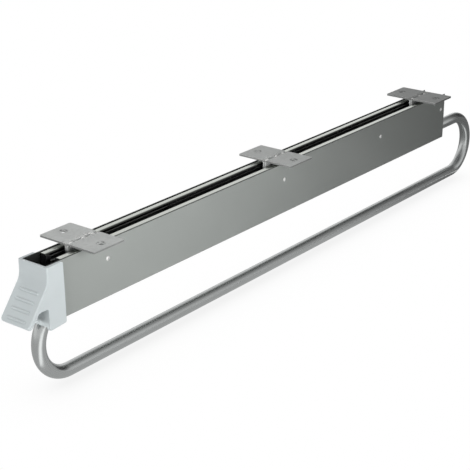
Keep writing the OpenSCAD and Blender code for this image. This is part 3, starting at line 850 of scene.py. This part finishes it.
@dataclass
class Turned:
    """A small piece turned about Z from rings, as a pattern that a rule repeats."""

    rings: Sequence[Ring]
    sides: int = 24
    hollow: bool = False
    smooth: float = math.radians(38)

    def build(self) -> bpy.types.Object:
        """Builds the pattern's mesh.

        Returns:
            The pattern as an object, which is removed after its last use.
        """
        made = bmesh.new()
        circles: List[List[bmesh.types.BMVert]] = []
        for ring in self.rings:
            circle = []
            for k in range(self.sides):
                turn = 2 * math.pi * k / self.sides
                corner = math.cos(math.pi / 6) / math.cos(turn % (math.pi / 3) - math.pi / 6)
                radius = ring.radius * (1 + ring.hexagon * (corner - 1))
                circle.append(made.verts.new((radius * math.cos(turn), radius * math.sin(turn), ring.height)))
            circles.append(circle)
        pairs = list(zip(circles, circles[1:]))
        if self.hollow:
            pairs.append((circles[-1], circles[0]))
        for low, high in pairs:
            for k in range(self.sides):
                after = (k + 1) % self.sides
                made.faces.new((low[k], low[after], high[after], high[k]))
        if not self.hollow:
            made.faces.new(circles[0][::-1])
            made.faces.new(circles[-1])
        bmesh.ops.recalc_face_normals(made, faces=made.faces[:])
        mesh = bpy.data.meshes.new("turned_pattern")
        made.to_mesh(mesh)
        made.free()
        mesh.shade_smooth()
        mesh.set_sharp_from_angle(angle=self.smooth)
        return link_object("turned_pattern", mesh)


@dataclass(frozen=True)
class Head:
    """A domed head with a recess in its crown, its seat at height 0."""

    radius: float
    height: float
    recess_radius: float
    recess_depth: float
    # Radius at which the dome ends, as a share of the recess's
    crown: float
    # Depth of the cone below the recess's wall
    cone: float = 0.0
    hexagon: float = 0.0
    # Height of the rim above the seat, and radius of the underside as a share of the rim's
    base: float = 0.0
    seat: float = 0.99
    steps: int = 6
    edge: float = 0.0001
    tip_radius: float = 0.0002

    def rings(self) -> List[Ring]:
        """Lists the rings from the seat over the rim and the dome to the middle of the recess.

        Returns:
            The rings.
        """
        rise = self.height - self.base
        ball = (self.radius ** 2 + rise ** 2) / (2 * rise)
        crown = self.crown * self.recess_radius / self.radius
        rings = [Ring(0.0, self.radius * self.seat)] if self.base else []
        for k in range(self.steps):
            reach = self.radius * (1 - (1 - crown) * k / (self.steps - 1))
            rings.append(Ring(self.height - ball + math.sqrt(ball ** 2 - reach ** 2), reach))
        top = rings[-1].height
        return rings + [Ring(top - self.edge, self.recess_radius, self.hexagon),
                        Ring(top - self.recess_depth, self.recess_radius, self.hexagon),
                        Ring(top - self.recess_depth - self.cone, self.tip_radius)]


# Rules that repeat or sweep


class Rule(Group):
    """A Geometry Nodes tree with named inputs that works on a piece's starting mesh."""

    def __init__(self, name: str) -> None:
        """Starts the tree with the inputs that every rule has.

        Args:
            name: Name of the tree.
        """
        super().__init__(name, "GeometryNodeTree")
        self.start = self.takes("Geometry", "Geometry")
        self.material = self.takes("Material", "Material")

    def random(self, low: float, high: float) -> Socket:
        """Gives each point a number between two limits, by the rule's seed."""
        limits = {"Min": low, "Max": high, "Seed": self.takes("Seed", "Int")}
        return self.lay("FunctionNodeRandomValue", limits, data_type="FLOAT").outputs[1]

    def ends(self, geometry: Socket) -> None:
        """Ends the tree with Realize Instances and Set Material."""
        real = self.out("GeometryNodeRealizeInstances", {0: geometry})
        self.gives(Geometry=self.out("GeometryNodeSetMaterial", {0: real, "Material": self.material}))

    def run(self, name: str, mesh: bpy.types.Mesh, finish: Finishes, **values: Any) -> bpy.types.Object:
        """Runs the tree on a mesh.

        Args:
            name: Name of the piece.
            mesh: The mesh that it starts from.
            finish: The piece's finish.
            **values: The tree's inputs, with underscores for the spaces of their names.

        Returns:
            The piece as a plain mesh.
        """
        piece = link_object(name, mesh)
        modifier = piece.modifiers.new(self.tree.name, "NODES")
        modifier.node_group = self.tree
        items = self.tree.interface.items_tree
        places = {item.name: item.identifier for item in items if item.in_out == "INPUT"}
        for key, value in dict(values, Material=finish.value.material()).items():
            modifier[places[key.replace("_", " ")]] = value
        return baked(piece)


class Repeat(Rule):
    """Sets a pattern on each point, facing the point's own direction and turned about it at random."""

    def __init__(self) -> None:
        """Builds the tree."""
        super().__init__("Repeat at places")
        facing = self.out("GeometryNodeInputNamedAttribute", {"Name": "facing"}, data_type="FLOAT_VECTOR")
        aimed = self.out("FunctionNodeAlignRotationToVector", {"Vector": facing}, axis="Z")
        twist = self.out("FunctionNodeAxisAngleToRotation", {"Axis": (0, 0, 1),
                                                             "Angle": self.random(0.0, math.pi)})
        turned = self.out("FunctionNodeRotateRotation", {"Rotation": aimed, "Rotate By": twist},
                          rotation_space="LOCAL")
        shape = self.lay("GeometryNodeObjectInfo", {"Object": self.takes("Pattern", "Object")},
                         transform_space="ORIGINAL").outputs["Geometry"]
        self.ends(self.out("GeometryNodeInstanceOnPoints", {"Points": self.start, "Instance": shape,
                                                            "Rotation": turned}))


class Weld(Rule):
    """Lays a bead on each point: a lens with ripples across it and a lumpy skin."""

    def __init__(self, smallest: float = 0.9, ripple_turn: float = 5200.0, ripple: float = 0.25,
                 lump_scale: float = 900.0) -> None:
        """Builds the tree.

        Args:
            smallest: Size of the smallest bead, as a share of the largest.
            ripple_turn: Angle that the ripples' wave turns by in one metre along the seam.
            ripple: Height of the ripples, as a share of the lumps.
            lump_scale: How fine the lumps are.
        """
        super().__init__("Tack welds")
        ball = self.out("GeometryNodeMeshUVSphere", {"Segments": 20, "Rings": 12, "Radius": 1.0})
        shape = self.joined(self.takes("Radius"), self.takes("Length"), self.takes("Height"))
        placed = self.out("GeometryNodeInstanceOnPoints", {
            "Points": self.start, "Instance": ball, "Scale": self.scaled(shape, self.random(smallest, 1.0))})
        real = self.out("GeometryNodeRealizeInstances", {"Geometry": placed})
        self.vector = self.out("GeometryNodeInputPosition")
        wave = self.math("SINE", self.times(self.parts(self.vector)[1], ripple_turn))
        push = self.math("SUBTRACT", self.times(wave, ripple), self.noise(lump_scale, 1.0))
        offset = self.scaled(self.out("GeometryNodeInputNormal"), self.times(push, self.takes("Lumps")))
        moved = self.out("GeometryNodeSetPosition", {"Geometry": real, "Offset": offset})
        self.ends(self.out("GeometryNodeSetShadeSmooth", {"Geometry": moved}))


class BentTube(Rule):
    """Bends a line of straight runs at its corners and sweeps a tube's wall along it."""

    def __init__(self, same_point: float = 0.0002, same_vertex: float = 0.000005) -> None:
        """Builds the tree.

        Args:
            same_point: Distance within which two points of the course are one.
            same_vertex: Distance within which two vertices of the wall are one.
        """
        super().__init__("Bent tube")
        line = self.out("GeometryNodeMeshToCurve", {0: self.start})
        bent = self.out("GeometryNodeFilletCurve", {
            "Curve": line, "Count": self.takes("Bend steps", "Int"), "Radius": self.takes("Bend radius"),
            "Limit Radius": True}, mode="POLY")
        wire = self.out("GeometryNodeCurveToMesh", {"Curve": bent})
        single = self.out("GeometryNodeMergeByDistance", {0: wire, "Distance": same_point})
        course = self.out("GeometryNodeMeshToCurve", {0: single})
        along = self.captured(course, self.lay("GeometryNodeSplineParameter").outputs["Length"], "FLOAT")
        circle = self.out("GeometryNodeCurvePrimitiveCircle", {
            "Resolution": self.takes("Sides", "Int"), "Radius": self.takes("Tube radius")}, mode="RADIUS")
        across = self.captured(circle, self.out("GeometryNodeInputPosition"), "VECTOR")
        skin = self.out("GeometryNodeCurveToMesh", {"Curve": along[0], "Profile Curve": across[0]})
        place = self.parts(across[1])
        skin = self.out("GeometryNodeStoreNamedAttribute", {
            "Geometry": skin, "Name": "unbent", "Value": self.joined(place[0], place[1], along[1])},
            data_type="FLOAT_VECTOR", domain="POINT")
        inner = self.lay("GeometryNodeExtrudeMesh", {
            "Mesh": skin, "Offset Scale": self.times(self.takes("Wall"), -1.0), "Individual": False},
            mode="FACES").outputs["Mesh"]
        both = self.lay("GeometryNodeJoinGeometry")
        for wall in (skin, self.out("GeometryNodeFlipFaces", {"Mesh": inner})):
            self.tree.links.new(wall, both.inputs[0])
        whole = self.out("GeometryNodeMergeByDistance", {0: both.outputs[0], "Distance": same_vertex})
        self.ends(self.out("GeometryNodeSetShadeSmooth", {"Geometry": whole}))

    def captured(self, geometry: Socket, value: Socket, kind: str) -> Tuple[Socket, Socket]:
        """Keeps a value on a curve's points.

        Args:
            geometry: The curve.
            value: The value.
            kind: Its data type.

        Returns:
            The curve and the kept value.
        """
        node = self.lay("GeometryNodeCaptureAttribute", {"Geometry": geometry}, domain="POINT")
        node.capture_items.new(kind, "Kept")
        self.tree.links.new(value, node.inputs["Kept"])
        return node.outputs["Geometry"], node.outputs["Kept"]


def points_mesh(name: str, places: Sequence[Vector], facing: Vector) -> bpy.types.Mesh:
    """Makes a mesh of single points with a direction.

    Args:
        name: Name of the mesh.
        places: Where the points are.
        facing: The direction that each point keeps.

    Returns:
        The mesh.
    """
    mesh = bpy.data.meshes.new(name)
    mesh.from_pydata([tuple(place) for place in places], [], [])
    kept = mesh.attributes.new("facing", "FLOAT_VECTOR", "POINT")
    kept.data.foreach_set("vector", [part for _ in places for part in facing])
    return mesh


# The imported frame


@dataclass(frozen=True)
class Solid:
    """One separate solid of a node: its lowest and highest corner."""

    low: Vector
    high: Vector

    @property
    def centre(self) -> Vector:
        """The middle of the solid's box."""
        return (self.low + self.high) / 2

    @property
    def size(self) -> Vector:
        """The lengths of the solid's box."""
        return self.high - self.low


class Frame:
    """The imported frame: its nodes, the bodies they ride on and the places of their solids."""

    def __init__(self, loaded: Dict[str, Any]) -> None:
        """Keeps the nodes, and the body of each.
        """
        self.nodes: Dict[str, bpy.types.Object] = loaded["nodes"]
        groups = loaded["record"]["behaviour"]["bodies"]
        self.body_of = {name: body for body, names in groups.items() for name in names}

    def solids(self, node: str) -> List[Solid]:
        """Finds the separate solids of a node.

        Args:
            node: The node's name.

        Returns:
            Its solids, from the front of the rail to the rear.
        """
        made = bmesh.new()
        made.from_mesh(self.nodes[node].data)
        bmesh.ops.remove_doubles(made, verts=made.verts[:], dist=WELD_GAP)
        left, found = set(made.verts), []
        while left:
            front, group = [left.pop()], []
            while front:
                vert = front.pop()
                group.append(vert.co.copy())
                near = {edge.other_vert(vert) for edge in vert.link_edges} & left
                left -= near
                front += near
            corners = [Vector(pick(place[i] for place in group) for i in range(3)) for pick in (min, max)]
            found.append(Solid(*corners))
        made.free()
        return sorted(found, key=lambda solid: (round(solid.centre.y, 5), solid.centre.x, solid.centre.z))

    def dress(self, piece: bpy.types.Object, finish: Finishes, *nodes: str) -> None:
        """Gives a finished piece its material and its place in the frame.

        Args:
            piece: The piece.
            finish: Its finish.
            *nodes: The frame's nodes that it stands for, all of one body.
        """
        body = self.body_of[nodes[0]]
        piece.data.materials.clear()
        piece.data.materials.append(finish.value.material())
        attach(piece, body)
        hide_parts(*nodes)
        LOG.info("%s: %d faces, on %s", piece.name, len(piece.data.polygons), body)

    def worked(self, shape: Worked, finish: Finishes) -> None:
        """Builds and dresses the worked piece that stands for one node."""
        self.dress(shape.build(self.nodes[shape.node]), finish, shape.node)


# The rail's sub-assemblies


@dataclass
class CeilingBrackets:
    """Three brackets of two bent plates each, with tack welds in the groove between the plates."""

    frame: Frame
    edge: float = 0.0004
    hole_radius: float = 0.00325
    sink_radius: float = 0.0062
    sink_depth: float = 0.0018
    weld_radius: float = 0.0030
    weld_length: float = 0.0040
    weld_height: float = 0.0026
    weld_top: float = -0.0002
    weld_lumps: float = 0.0004

    def build(self) -> None:
        """Builds the six plates and the welds."""
        for place in ("front", "middle", "rear"):
            for side in Side:
                node = f"bracket_{place}_{side.value}"
                low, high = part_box(node)
                hole = Vector((side.outward * HOLE_X, (low.y + high.y) / 2, high.z))
                sunk = Sunk(hole, self.hole_radius, self.sink_radius, self.sink_depth)
                self.frame.worked(Worked(node, self.edge, sunk=sunk), Finishes.BRACKET)
        places = [Vector((solid.centre.x, solid.centre.y, self.weld_top - self.weld_height))
                  for solid in self.frame.solids("seam_welds")]
        spots = points_mesh("seam_welds_laid", places, Vector((0, 0, 1)))
        welds = Weld().run("seam_welds_laid", spots, Finishes.WELD, Radius=self.weld_radius,
                           Length=self.weld_length, Height=self.weld_height, Lumps=self.weld_lumps, Seed=SEED)
        self.frame.dress(welds, Finishes.WELD, "seam_welds")


@dataclass
class Fasteners:
    """Bolts, nuts, bushes, rivets, clamp screws and balls: turned patterns that a rule repeats."""

    frame: Frame
    rule: Repeat
    chamfer: float = 0.0004
    bolt_radius: float = 0.0025
    bolt_head: Head = Head(0.0045, 0.0026, 0.0017, 0.0013, crown=1.15, cone=0.0003, hexagon=1.0)
    thread_depth: float = 0.00022
    thread_pitch: float = 0.0008
    thread_turns: int = 6
    nut_radius: float = 0.004
    # Radius of a hexagon's corners, and of a nut's end faces, as shares of half its width
    nut_corner: float = 1.1547
    nut_face: float = 0.97
    nut_play: float = 0.00003
    bush_radius: float = 0.006
    bush_play: float = 0.00013
    bush_chamfer: float = 0.0002
    rivet_radius: float = 0.002
    rivet_head: Head = Head(0.0034, 0.0015, 0.0012, 0.0022, crown=1.1, base=0.0001, steps=7)
    screw_radius: float = 0.002
    screw_head: Head = Head(0.004, 0.0024, 0.0015, 0.0012, crown=1.2, cone=0.0002, hexagon=1.0)
    ball_rings: int = 8
    # Angle from a ball's pole to its first ring, as a share of the angle between two rings
    ball_cap: float = 0.25

    def repeat(self, node: str, pattern: Turned, finish: Finishes, facing: Vector,
               rise: float = 0.0) -> None:
        """Sets a pattern on each solid of a node.

        Args:
            node: The node that the piece stands for.
            pattern: The pattern, turned about Z.
            finish: Its finish.
            facing: Direction of the pattern's axis.
            rise: Distance along the axis from a solid's middle to the pattern's origin.
        """
        shape = pattern.build()
        spots = [solid.centre + facing * rise for solid in self.frame.solids(node)]
        piece = self.rule.run(f"{node}_set", points_mesh(f"{node}_set", spots, facing), finish, Pattern=shape,
                              Seed=SEED)
        bpy.data.objects.remove(shape)
        self.frame.dress(piece, finish, node)

    def headed(self, node: str, shank: Sequence[Ring], head: Head, finish: Finishes, facing: Vector) -> None:
        """Sets a piece with a head on each solid of a node.

        Args:
            node: The node that the piece stands for.
            shank: Rings of its shank, their heights counted from the shank's end.
            head: Its head.
            finish: Its finish.
            facing: Direction from the shank to the head.
        """
        length = abs(self.frame.solids(node)[0].size.dot(facing))
        rings = [Ring(ring.height + head.height - length, ring.radius) for ring in shank]
        rings += [Ring(0.0, shank[-1].radius)] + head.rings()
        self.repeat(node, Turned(rings), finish, facing, length / 2 - head.height)

    def build_bolts(self) -> None:
        """Builds the through bolts, with threaded ends and hexagon sockets in their heads."""
        shank = [Ring(0.0, self.bolt_radius - self.chamfer)]
        for k in range(self.thread_turns):
            low = self.chamfer + k * self.thread_pitch
            shank += [Ring(low, self.bolt_radius - self.thread_depth),
                      Ring(low + self.thread_pitch / 2, self.bolt_radius)]
        shank.append(Ring(self.chamfer + self.thread_turns * self.thread_pitch, self.bolt_radius))
        self.headed("slide_bolts", shank, self.bolt_head, Finishes.STEEL, Vector((-1, 0, 0)))

    def build_nuts_and_bushes(self) -> None:
        """Builds the bolts' nuts and the bushes beside the bracket webs."""
        half, hole = self.frame.solids("slide_nuts")[0].size.x / 2, self.bolt_radius + self.nut_play
        low = half - self.chamfer
        upper = [Ring(low, self.nut_radius * self.nut_corner, hexagon=1.0),
                 Ring(half, self.nut_radius * self.nut_face),
                 Ring(half, hole + self.chamfer), Ring(low, hole)]
        self.repeat("slide_nuts", Turned(mirrored(upper), hollow=True), Finishes.STEEL, Vector((1, 0, 0)))
        half, hole = self.frame.solids("spacer_bushes")[0].size.x / 2, self.bolt_radius + self.bush_play
        upper = [Ring(half - self.bush_chamfer, self.bush_radius),
                 Ring(half, self.bush_radius - self.bush_chamfer), Ring(half, hole)]
        self.repeat("spacer_bushes", Turned(mirrored(upper), sides=32, hollow=True), Finishes.STEEL,
                    Vector((1, 0, 0)))

    def build_rivets(self) -> None:
        """Builds the rivets that hold the cover to the outer members, on both sides."""
        for side in Side:
            self.headed(f"cover_rivets_{side.value}", [Ring(0.0, self.rivet_radius)], self.rivet_head,
                        Finishes.RIVET, Vector((side.outward, 0, 0)))

    def build_clamp_screws(self) -> None:
        """Builds the screws that hold the clamps, their heads under the cover's floor."""
        shank = [Ring(0.0, self.screw_radius - self.chamfer), Ring(self.chamfer, self.screw_radius)]
        self.headed("clamp_screws", shank, self.screw_head, Finishes.STEEL, Vector((0, 0, -1)))

    def build_balls(self) -> None:
        """Builds the bearing balls of the four cages."""
        step = math.pi / (self.ball_rings - 1 + 2 * self.ball_cap)
        for side in Side:
            for row in ("inner", "outer"):
                node = f"{row}_balls_{side.value}"
                radius = self.frame.solids(node)[0].size.y / 2
                turns = [step * (k + self.ball_cap) for k in range(self.ball_rings)]
                rings = [Ring(-radius * math.cos(turn), radius * math.sin(turn)) for turn in turns]
                self.repeat(node, Turned(rings, sides=12), Finishes.GREASED, Vector((0, 0, 1)))

    def build(self) -> None:
        """Builds every kind of fastener and the balls."""
        self.build_bolts()
        self.build_nuts_and_bushes()
        self.build_rivets()
        self.build_clamp_screws()
        self.build_balls()


@dataclass
class BallSlides:
    """The members, cages, clips and bumpers of the two slides."""

    frame: Frame
    sheet_edge: float = 0.00015
    plastic_edge: float = 0.0003
    clip_ease: float = 0.00005

    def build(self) -> None:
        """Builds the members and the plastic ends, and dresses the cages."""
        for side in Side:
            for member in ("inner_member", "intermediate"):
                self.frame.worked(Worked(f"{member}_{side.value}", self.sheet_edge), Finishes.SLIDE_INSIDE)
            self.frame.worked(Worked(f"outer_member_{side.value}", self.sheet_edge), Finishes.SLIDE)
            clip = Worked(f"end_clip_{side.value}", self.plastic_edge, ease=self.clip_ease)
            self.frame.worked(clip, Finishes.PLASTIC)
            self.frame.worked(Worked(f"bumper_{side.value}", self.plastic_edge), Finishes.RUBBER)
            for cage in ("inner_cage", "outer_cage"):
                node = self.frame.nodes[f"{cage}_{side.value}"]
                node.data.materials.clear()
                node.data.materials.append(Finishes.PLASTIC.value.material())
                LOG.info("%s keeps its solid", node.name)


@dataclass
class CoverAndCap:
    """The folded cover, the moulded handle cap in front of it and the tube's clamps inside it."""

    frame: Frame
    sheet_edge: float = 0.0002
    cap_edge: float = 0.0005
    plain_area: float = 0.00004
    cap_smooth: float = math.radians(20)

    def build(self) -> None:
        """Builds the cover, the cap and the clamps."""
        self.frame.worked(Worked("cover_channel", self.sheet_edge), Finishes.COVER)
        self.frame.worked(Worked("handle_cap", self.cap_edge, plain_area=self.plain_area,
                                 smooth=self.cap_smooth), Finishes.CAP)
        for place in ("front", "rear"):
            self.frame.worked(Worked(f"tube_clamp_{place}", self.cap_edge), Finishes.PLASTIC)


@dataclass
class HangingTube:
    """The bent tube that hangers hang on, with a half-circle bend at each end."""

    frame: Frame
    radius: float = 0.0095
    wall: float = 0.0015
    bend: float = 0.05065
    # Length of the straight piece between the two corners of a half-circle
    corner_gap: float = 0.00004
    front_leg: float = 0.120
    rear_leg: float = 0.180
    bend_steps: int = 22
    sides: int = 48

    def build(self) -> None:
        """Sweeps the tube along its line of straight runs."""
        low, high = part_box("hanging_tube")
        front, rear = low.y + self.radius, high.y - self.radius
        bottom, top = low.z + self.radius, high.z - self.radius
        corners = [(0, front + self.bend + self.front_leg, top), (0, front, top), (0, front, bottom),
                   (0, rear, bottom), (0, rear, top), (0, rear - self.bend - self.rear_leg, top)]
        line = bpy.data.meshes.new("tube_line")
        line.from_pydata(corners, [(k, k + 1) for k in range(len(corners) - 1)], [])
        tube = BentTube().run("hanging_tube_swept", line, Finishes.TUBE,
                              Bend_radius=self.bend - self.corner_gap / 2, Tube_radius=self.radius,
                              Wall=self.wall, Bend_steps=self.bend_steps, Sides=self.sides)
        self.frame.dress(tube, Finishes.TUBE, "hanging_tube")


# The studio


@dataclass
class Lamp:
    """A rectangular studio lamp that the camera doesn't see and metal doesn't mirror."""

    name: str
    place: Vector
    aim: Vector
    width: float
    height: float
    power: float

    def build(self) -> None:
        """Hangs the lamp."""
        data = bpy.data.lights.new(self.name, "AREA")
        data.shape = "RECTANGLE"
        data.size, data.size_y = self.width, self.height
        data.energy = self.power
        lamp = link_object(self.name, data)
        lamp.location = self.place
        lamp.rotation_mode = "QUATERNION"
        lamp.rotation_quaternion = (self.aim - self.place).to_track_quat("-Z", "Y")
        lamp.visible_camera = False
        lamp.visible_glossy = False


@dataclass(frozen=True)
class Fan:
    """A bright fan on the floor that metal mirrors: its tip, its bearing and half its angle, in radians."""

    x: float
    y: float
    bearing: float
    half: float


@dataclass
class Studio:
    """White floor, soft lamps, pale sky and the camera."""

    floor_z: float = -0.192
    floor_reach: float = 6.0
    floor_colour: Colour = (0.85, 0.85, 0.85)
    # Reach of the soft shade that the camera sees under the rail, and its level by the open share
    shade_reach: float = 0.10
    shade: Ramp = (0.3, 0.95, 0.84, 1.0)
    # Brightness of the floor that metal mirrors, along Y
    floor_mirror: Ramp = (0.2, 0.55, 0.5, 0.18)
    fans: Tuple[Fan, ...] = (Fan(0.0, -0.53, -0.20, 0.26), Fan(0.0, 0.605, -0.48, 0.14))
    fan_shine: float = 0.85
    # Width of a fan's soft rim, as a share of its half angle
    fan_soft: float = 2.2
    sky: float = 0.08
    # Brightness of the sky that metal mirrors, by the direction's X, Y and Z
    sky_right: Ramp = (-0.45, 0.1)
    sky_rear: Ramp = (0.745, 0.815, 0.70, 0.03)
    sky_left: float = 0.85
    sky_overhead: Ramp = (0.35, 1.0, 1.0, 0.08)
    # The part behind the rail where the dark sky overhead reaches further down
    dark_left: Ramp = (-0.45, -0.25)
    dark_right: Ramp = (-0.2, 0.4, 1.0, 0.35)
    dark_rear: Ramp = (0.65, 0.84, 0.0, 0.45)
    camera_place: Tuple[float, float, float] = (1.1134, -1.5308, 0.6280)
    yaw: float = 0.6611286995
    pitch: float = 0.3807521226
    lens: float = 101.01
    sensor: float = 36.0

    def floor_shine(self, board: Board) -> Socket:
        """Lays how bright metal mirrors the floor: darker towards the rear, with the fans added.

        Args:
            board: The floor's board.

        Returns:
            The brightness.
        """
        place = board.parts(board.lay("ShaderNodeTexCoord").outputs["Object"])
        shine = board.between(place[1], *self.floor_mirror)
        for fan in self.fans:
            bearing = board.math("ARCTAN2", board.math("SUBTRACT", place[1], fan.y),
                                 board.math("SUBTRACT", place[0], fan.x))
            off = board.math("ABSOLUTE", board.math("SUBTRACT", bearing, fan.bearing))
            bright = board.between(off, fan.half, fan.half * self.fan_soft, self.fan_shine, 0.0)
            shine = board.math("ADD", shine, bright)
        return shine

    def build_floor(self) -> None:
        """Lays a white floor that keeps the object's soft shadow."""
        reach = self.floor_reach
        corners = [(x * reach, y * reach, self.floor_z) for x, y in ((-1, -1), (1, -1), (1, 1), (-1, 1))]
        mesh = bpy.data.meshes.new("studio_floor")
        mesh.from_pydata(corners, [], [(0, 1, 2, 3)])
        floor = link_object("studio_floor", mesh)
        material = bpy.data.materials.new("studio_floor")
        material.use_nodes = True
        material.node_tree.nodes.clear()
        board = Board(material.node_tree)
        seen, glossy = board.rays()
        lit = board.out("ShaderNodeBsdfDiffuse", {"Color": self.floor_colour})
        level = board.between(board.openness(self.shade_reach, samples=12), *self.shade)
        glow = board.glow("ShaderNodeEmission", level)
        mirror = board.glow("ShaderNodeEmission", self.floor_shine(board))
        shown = board.out("ShaderNodeMixShader", {0: glossy, 1: lit, 2: mirror})
        mixed = board.out("ShaderNodeMixShader", {0: seen, 1: shown, 2: glow})
        board.lay("ShaderNodeOutputMaterial", {"Surface": mixed})
        mesh.materials.append(material)

    def sky_shine(self, board: Board) -> Socket:
        """Lays how bright metal mirrors the sky: dark overhead and behind the rail, brighter at the sides.

        Args:
            board: The sky's board.

        Returns:
            The brightness.
        """
        x, y, z = board.parts(board.lay("ShaderNodeTexCoord").outputs["Generated"])
        right = board.between(x, *self.sky_right)
        left = board.times(board.math("SUBTRACT", 1.0, right), self.sky_left)
        sides = board.math("MULTIPLY_ADD", right, board.between(y, *self.sky_rear), left)
        middle = board.times(board.between(x, *self.dark_left), board.between(x, *self.dark_right))
        slant = board.math("MULTIPLY_ADD", board.between(y, *self.dark_rear), middle, z)
        return board.times(board.between(slant, *self.sky_overhead), sides)

    def build_sky(self) -> None:
        """Lights the room softly and shows it white behind the object."""
        world = bpy.data.worlds.new("studio_sky")
        bpy.context.scene.world = world
        world.use_nodes = True
        world.node_tree.nodes.clear()
        board = Board(world.node_tree)
        seen, glossy = board.rays()
        plain = board.times(board.math("SUBTRACT", 1.0, glossy), self.sky)
        strength = board.math("ADD", board.times(glossy, self.sky_shine(board)), plain)
        sky = board.glow("ShaderNodeBackground", board.math("MAXIMUM", strength, seen))
        board.lay("ShaderNodeOutputWorld", {"Surface": sky})

    def build_camera(self) -> None:
        """Stands the camera where the photograph was taken from."""
        data = bpy.data.cameras.new("studio_camera")
        data.lens = self.lens
        data.sensor_width = self.sensor
        data.sensor_fit = "HORIZONTAL"
        data.clip_start, data.clip_end = 0.01, 50.0
        camera = link_object("studio_camera", data)
        level = math.cos(self.pitch)
        forward = Vector((-math.sin(self.yaw) * level, math.cos(self.yaw) * level, -math.sin(self.pitch)))
        camera.location = self.camera_place
        camera.rotation_mode = "QUATERNION"
        camera.rotation_quaternion = forward.to_track_quat("-Z", "Y")
        bpy.context.scene.camera = camera

    def build(self) -> None:
        """Sets up the floor, the sky, the lamps and the camera."""
        self.build_floor()
        self.build_sky()
        for lamp in (
                Lamp("side_lamp", Vector((0.60, -0.38, 0.14)), Vector((0.0, -0.38, -0.05)), 0.3, 0.3, 2.8),
                Lamp("front_lamp", Vector((0.35, -4.38, 0.09)), Vector((0.0, -0.5, -0.06)), 3.0, 0.5, 101.0),
                Lamp("top_lamp", Vector((-0.35, -0.35, 0.8)), Vector((0.0, -0.2, 0.0)), 0.3, 0.4, 4.2)):
            lamp.build()
        self.build_camera()
        bpy.context.scene.view_settings.view_transform = "Standard"


def main() -> None:
    """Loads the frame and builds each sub-assembly in order."""
    logging.basicConfig(level=logging.INFO, format="%(message)s")
    frame = Frame(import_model())
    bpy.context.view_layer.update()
    for build in (build_grain, build_drawn_lines, build_edge_wear_and_highlight, build_dust):
        build()
    CeilingBrackets(frame).build()
    Fasteners(frame, Repeat()).build()
    BallSlides(frame).build()
    CoverAndCap(frame).build()
    HangingTube(frame).build()
    Studio().build()


if __name__ == "__main__":
    main()
